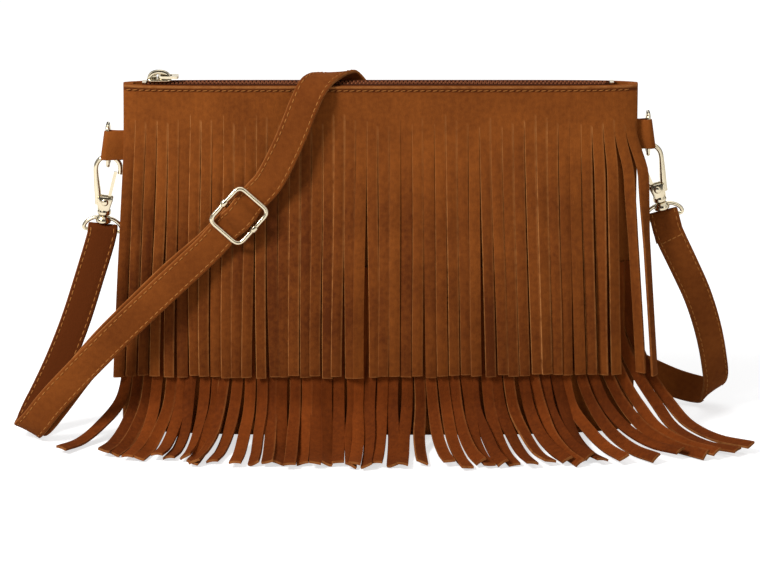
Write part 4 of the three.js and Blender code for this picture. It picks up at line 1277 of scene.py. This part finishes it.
frame_line = [on_buckle(u, v, 0) for u, v in box_outline(buckle_half, buckle_side, 4)]
frame_wire = sweep(frame_line, circle(buckle_wire + buckle_fuller, 18), buckle_face, closed=True)
piece("buckle_wire", frame_wire, gold, "buckle_frame", ["buckle_frame"])
bar_line = [on_buckle(0, v, -bar_drop) for v in np.linspace(-buckle_side, buckle_side, 9)]
bar_parts = [sweep(bar_line, circle(bar_radius, 14), buckle_face)]
for end in (-1, 1):
    rings = [on_buckle(height, end * buckle_side + radius * u, radius * v)
             for radius, height in knob_profile for u, v in circle(1, knob_sides)]
    bar_parts.append((np.array(rings), ring_faces(len(knob_profile), knob_sides, closed=True)))
piece("buckle_rod", joined(bar_parts), gold, "bag", ["buckle_bar"], crease=50)

# %% [markdown]
# ## Strap
# The strap is one long suede ribbon with turned edges and a row of tan stitches inside each edge. It leaves
# the right eye, falls behind the pouch to the floor, climbs the back, crosses the mouth, passes through the
# buckle and drops to the floor at the left. There it rises to the left eye, turns and comes back as a second
# layer to the buckle's bar.

# %% Strap route
# Each stop is a point of the ribbon's middle line and the direction across the ribbon there.
right_route = [
    ((149, 3.4, 98), (0.93, 0.1, 0.35)), ((156, 6, 83), (0.91, 0.22, 0.35)),
    ((163, 10, 67), (0.88, 0.33, 0.33)), ((169, 16, 48), (0.87, 0.38, 0.32)),
    ((173, 24, 29), (0.86, 0.4, 0.33)), ((174.5, 31, 15), (0.85, 0.35, 0.4)),
    ((172, 38, 8), (0.8, 0.28, 0.53)), ((165.5, 42.5, 7.6), (0.66, 0.28, 0.7)),
    ((156, 45, 9.6), (0.52, 0.3, 0.8)), ((144, 46, 14.5), (0.44, 0.33, 0.84)),
    ((131, 45.5, 21.5), (0.45, 0.3, 0.84)), ((112, 41.5, 36), (0.55, 0.2, 0.81)),
    ((90, 34.5, 57), (0.65, 0.12, 0.75)), ((68, 28.5, 82), (0.73, 0.05, 0.68)),
    ((46, 24, 107), (0.76, 0, 0.65)), ((23, 19.8, 133), (0.78, 0, 0.62)),
    ((4.5, 15.8, 155), (0.8, 0, 0.6)), ((-9, 12.6, 171), (0.81, -0.12, 0.57)),
    ((-16.2, 11.4, 180.4), (0.81, -0.36, 0.45)), ((-20.6, 6, 183.3), (0.81, -0.53, 0.2)),
    ((-24.6, 0, 183.8), (0.81, -0.59, 0)), ((-28.6, -6.4, 183.5), (0.81, -0.53, -0.2)),
    ((-32.6, -12.7, 180.7), (0.81, -0.36, -0.45)), ((-36.8, -16.4, 172.8), (0.81, -0.15, -0.55)),
    ((-41.6, -19, 161), (0.81, -0.02, -0.58)), ((-47.6, -22.8, 148), (0.79, 0, -0.61)),
]
left_route = [
    ((-100, -30.5, 87.5), (0.71, 0, -0.7)), ((-118, -31.5, 70.5), (0.7, 0, -0.71)),
    ((-136, -32.5, 53), (0.71, 0, -0.7)), ((-152, -32.5, 36.5), (0.74, -0.05, -0.66)),
    ((-165, -31.5, 22), (0.79, -0.15, -0.58)), ((-173.5, -28.5, 10.5), (0.84, -0.27, -0.46)),
    ((-177.2, -22.8, 5.6), (0.87, -0.34, -0.36)), ((-177.4, -16, 5.4), (0.88, -0.34, -0.34)),
    ((-174.5, -11, 10), (0.9, -0.28, -0.33)), ((-169, -8, 21), (0.92, -0.18, -0.32)),
    ((-162, -5.3, 36), (0.94, -0.1, -0.31)), ((-154, -2, 56), (0.95, -0.05, -0.29)),
    ((-146.8, 2.8, 78), (0.97, 0, -0.22)),
]


def as_stops(route):
    return [(np.array(at, float), unit(np.array(across))) for at, across in route]


right_lead = as_stops(right_route)
left_lead = as_stops(left_route)
print(len(right_lead), "stops at the right,", len(left_lead), "at the left")

# %% Strap at the eyes
strap_thickness = 2.2
strap_gap = 0.35
tail_length = 13.0
tail_tuck = 0.9
wrap_radius = eye_wire + strap_gap + strap_thickness / 2
wrap_turns = np.radians([0, 45, 90, 135, 180])


def eye_point(side, back, rise):
    place = clip_frames[side]
    at = np.array(place @ Vector((0, back, rise - eye_bar_drop)))
    across = np.array(place.to_3x3() @ Vector((1, 0, 0)))
    return at, across


def eye_turn(side):
    rises = [-1.5, 0, 0, 0, -1.5]
    return [eye_point(side, wrap_radius * math.cos(t), wrap_radius * math.sin(t) + rise)
            for t, rise in zip(wrap_turns, rises)]


right_end = [eye_point("right", wrap_radius - tail_tuck, -tail_length),
             eye_point("right", wrap_radius - tail_tuck / 4, -tail_length / 2),
             *eye_turn("right"), eye_point("right", -wrap_radius, -7)]
left_eye = eye_turn("left")
print(len(right_end), "stops on the right eye,", len(left_eye), "on the left")

# %% Strap through the buckle
under = -(buckle_wire + strap_gap + strap_thickness / 2)
over = -bar_drop + bar_radius + 2 * strap_gap + strap_thickness * 1.5
weave = [
    (-22, under - 0.3), (-14, under), (-7.4, under), (-3.4, over * 0.45), (0, over), (3.4, over * 0.45),
    (7.4, under), (14, under), (22, under - 0.3),
]
through_buckle = [(on_buckle(along, 0, proud), buckle_across) for along, proud in weave]
lead = right_end + right_lead + through_buckle
print(len(lead), "stops to the buckle")

# %% Second layer
layer_step = strap_thickness + 0.45
first_layer = [*lead[-3:], *left_lead, left_eye[0]]
# The layers lie unevenly: the under one shows at the upper edge near the buckle and at the lower edge by
# the floor.
shift_stops = [0, 1, 2, 4, 6, 8, 10]
shifts = [-0.4, -0.8, -1.8, -1.0, 2.2, 1.4, 0]
layer_shifts = np.interp(range(len(first_layer)), shift_stops, shifts)
second_layer = []
for before, (at, across), after, shift in zip(first_layer, first_layer[1:], first_layer[2:], layer_shifts):
    out = unit(np.cross(after[0] - before[0], across))
    second_layer.append((at - out * layer_step + across * shift, across))
bar_wrap = bar_radius + strap_gap + strap_thickness / 2
second_layer = second_layer[::-1] + [(on_buckle(6.5, 0, -bar_drop - bar_wrap), buckle_across)]
second_layer += [(on_buckle(-bar_wrap * math.sin(t), 0, -bar_drop - bar_wrap * math.cos(t)), buckle_across)
                 for t in wrap_turns]
print(len(second_layer), "stops on the second layer")

# %% Strap ribbon
strap_steps = 5
strap_stops = lead + left_lead + left_eye + second_layer
strap_line = smooth_curve([at for at, _ in strap_stops], strap_steps)
strap_along = unit(np.gradient(strap_line, axis=0))
strap_across = smooth_curve([across for _, across in strap_stops], strap_steps)
strap_across = unit(strap_across - strap_along * np.sum(strap_across * strap_along, axis=1)[:, None])
strap_out = np.cross(strap_along, strap_across)

stitch_line = 5.8
half_profile = [(7.5, 0), (7.42, 0.55), (7.1, 0.95), (6.6, 1.1), (stitch_line, 0.88), (5.0, 1.05),
                (2.5, 1.08), (0, 1.1)]
top_profile = half_profile + [(-u, v) for u, v in half_profile[-2::-1]]
strap_section = top_profile + [(u, -v) for u, v in top_profile[-2:0:-1]]
strap_points = section_rings(strap_section, strap_line, strap_across, strap_out)
section_sides = len(strap_section)
strap_shape = (strap_points, ring_faces(len(strap_line), section_sides, capped=True))
strap = piece("strap_ribbon", strap_shape, strap_suede, "bag", ["strap"])
edge_share = [0.55 if abs(u) > 7.2 else 0.0 for u, _ in strap_section]
# The length that rises to the left clip is darkened, a painted shade.
painted_leg_shade = smooth_step(-24, -14, strap_line[:, 1]) * smooth_step(-128, -142, strap_line[:, 0])
mark_points(strap, {
    "cut_edge_and_highlight": np.tile(edge_share, len(strap_line)),
    "tone_and_shade": np.repeat(painted_leg_shade, section_sides),
})

# %% Strap stitching
strap_thread = 0.31
strap_pitch = 3.5
strap_rise = 0.95
# Stops of the route: the first on the right eye, the one under it, and the last ones, by the buckle's bar.
eye_stop = 2
tail_stop = 7
unsewn_stops = 9
tail_rise = 1.05
tail_step = 4.4
tail_places = (-4.2, -1.4, 1.4, 4.2)
stitched = strap_line[:(len(strap_stops) - unsewn_stops) * strap_steps]
stitched_run = np.concatenate([[0], np.cumsum(np.linalg.norm(np.diff(stitched, axis=0), axis=1))])


def on_strap(run, across, rise):
    def row(values):
        return np.array([np.interp(run, stitched_run, values[:len(stitched), k]) for k in range(3)])

    out = row(strap_out)
    side = row(strap_across)
    point = row(strap_line) + side * across + out * rise
    return point, unit(np.cross(side, out)), unit(out), side


strap_places = []
for run in np.arange(stitched_run[eye_stop * strap_steps], stitched_run[-1], strap_pitch):
    for across in (-stitch_line, stitch_line):
        point, along, out, side = on_strap(run, across, strap_rise)
        strap_places.append((point, along, out))
# The tail is sewn down by one short row across the ribbon.
tail_seam = stitched_run[tail_stop * strap_steps] + tail_step
for across in tail_places:
    point, along, out, side = on_strap(tail_seam, across, tail_rise)
    strap_places.append((point, side, out))
strap_stitching = piece("strap_stitching", stitches(strap_places, strap_thread), thread, "bag")
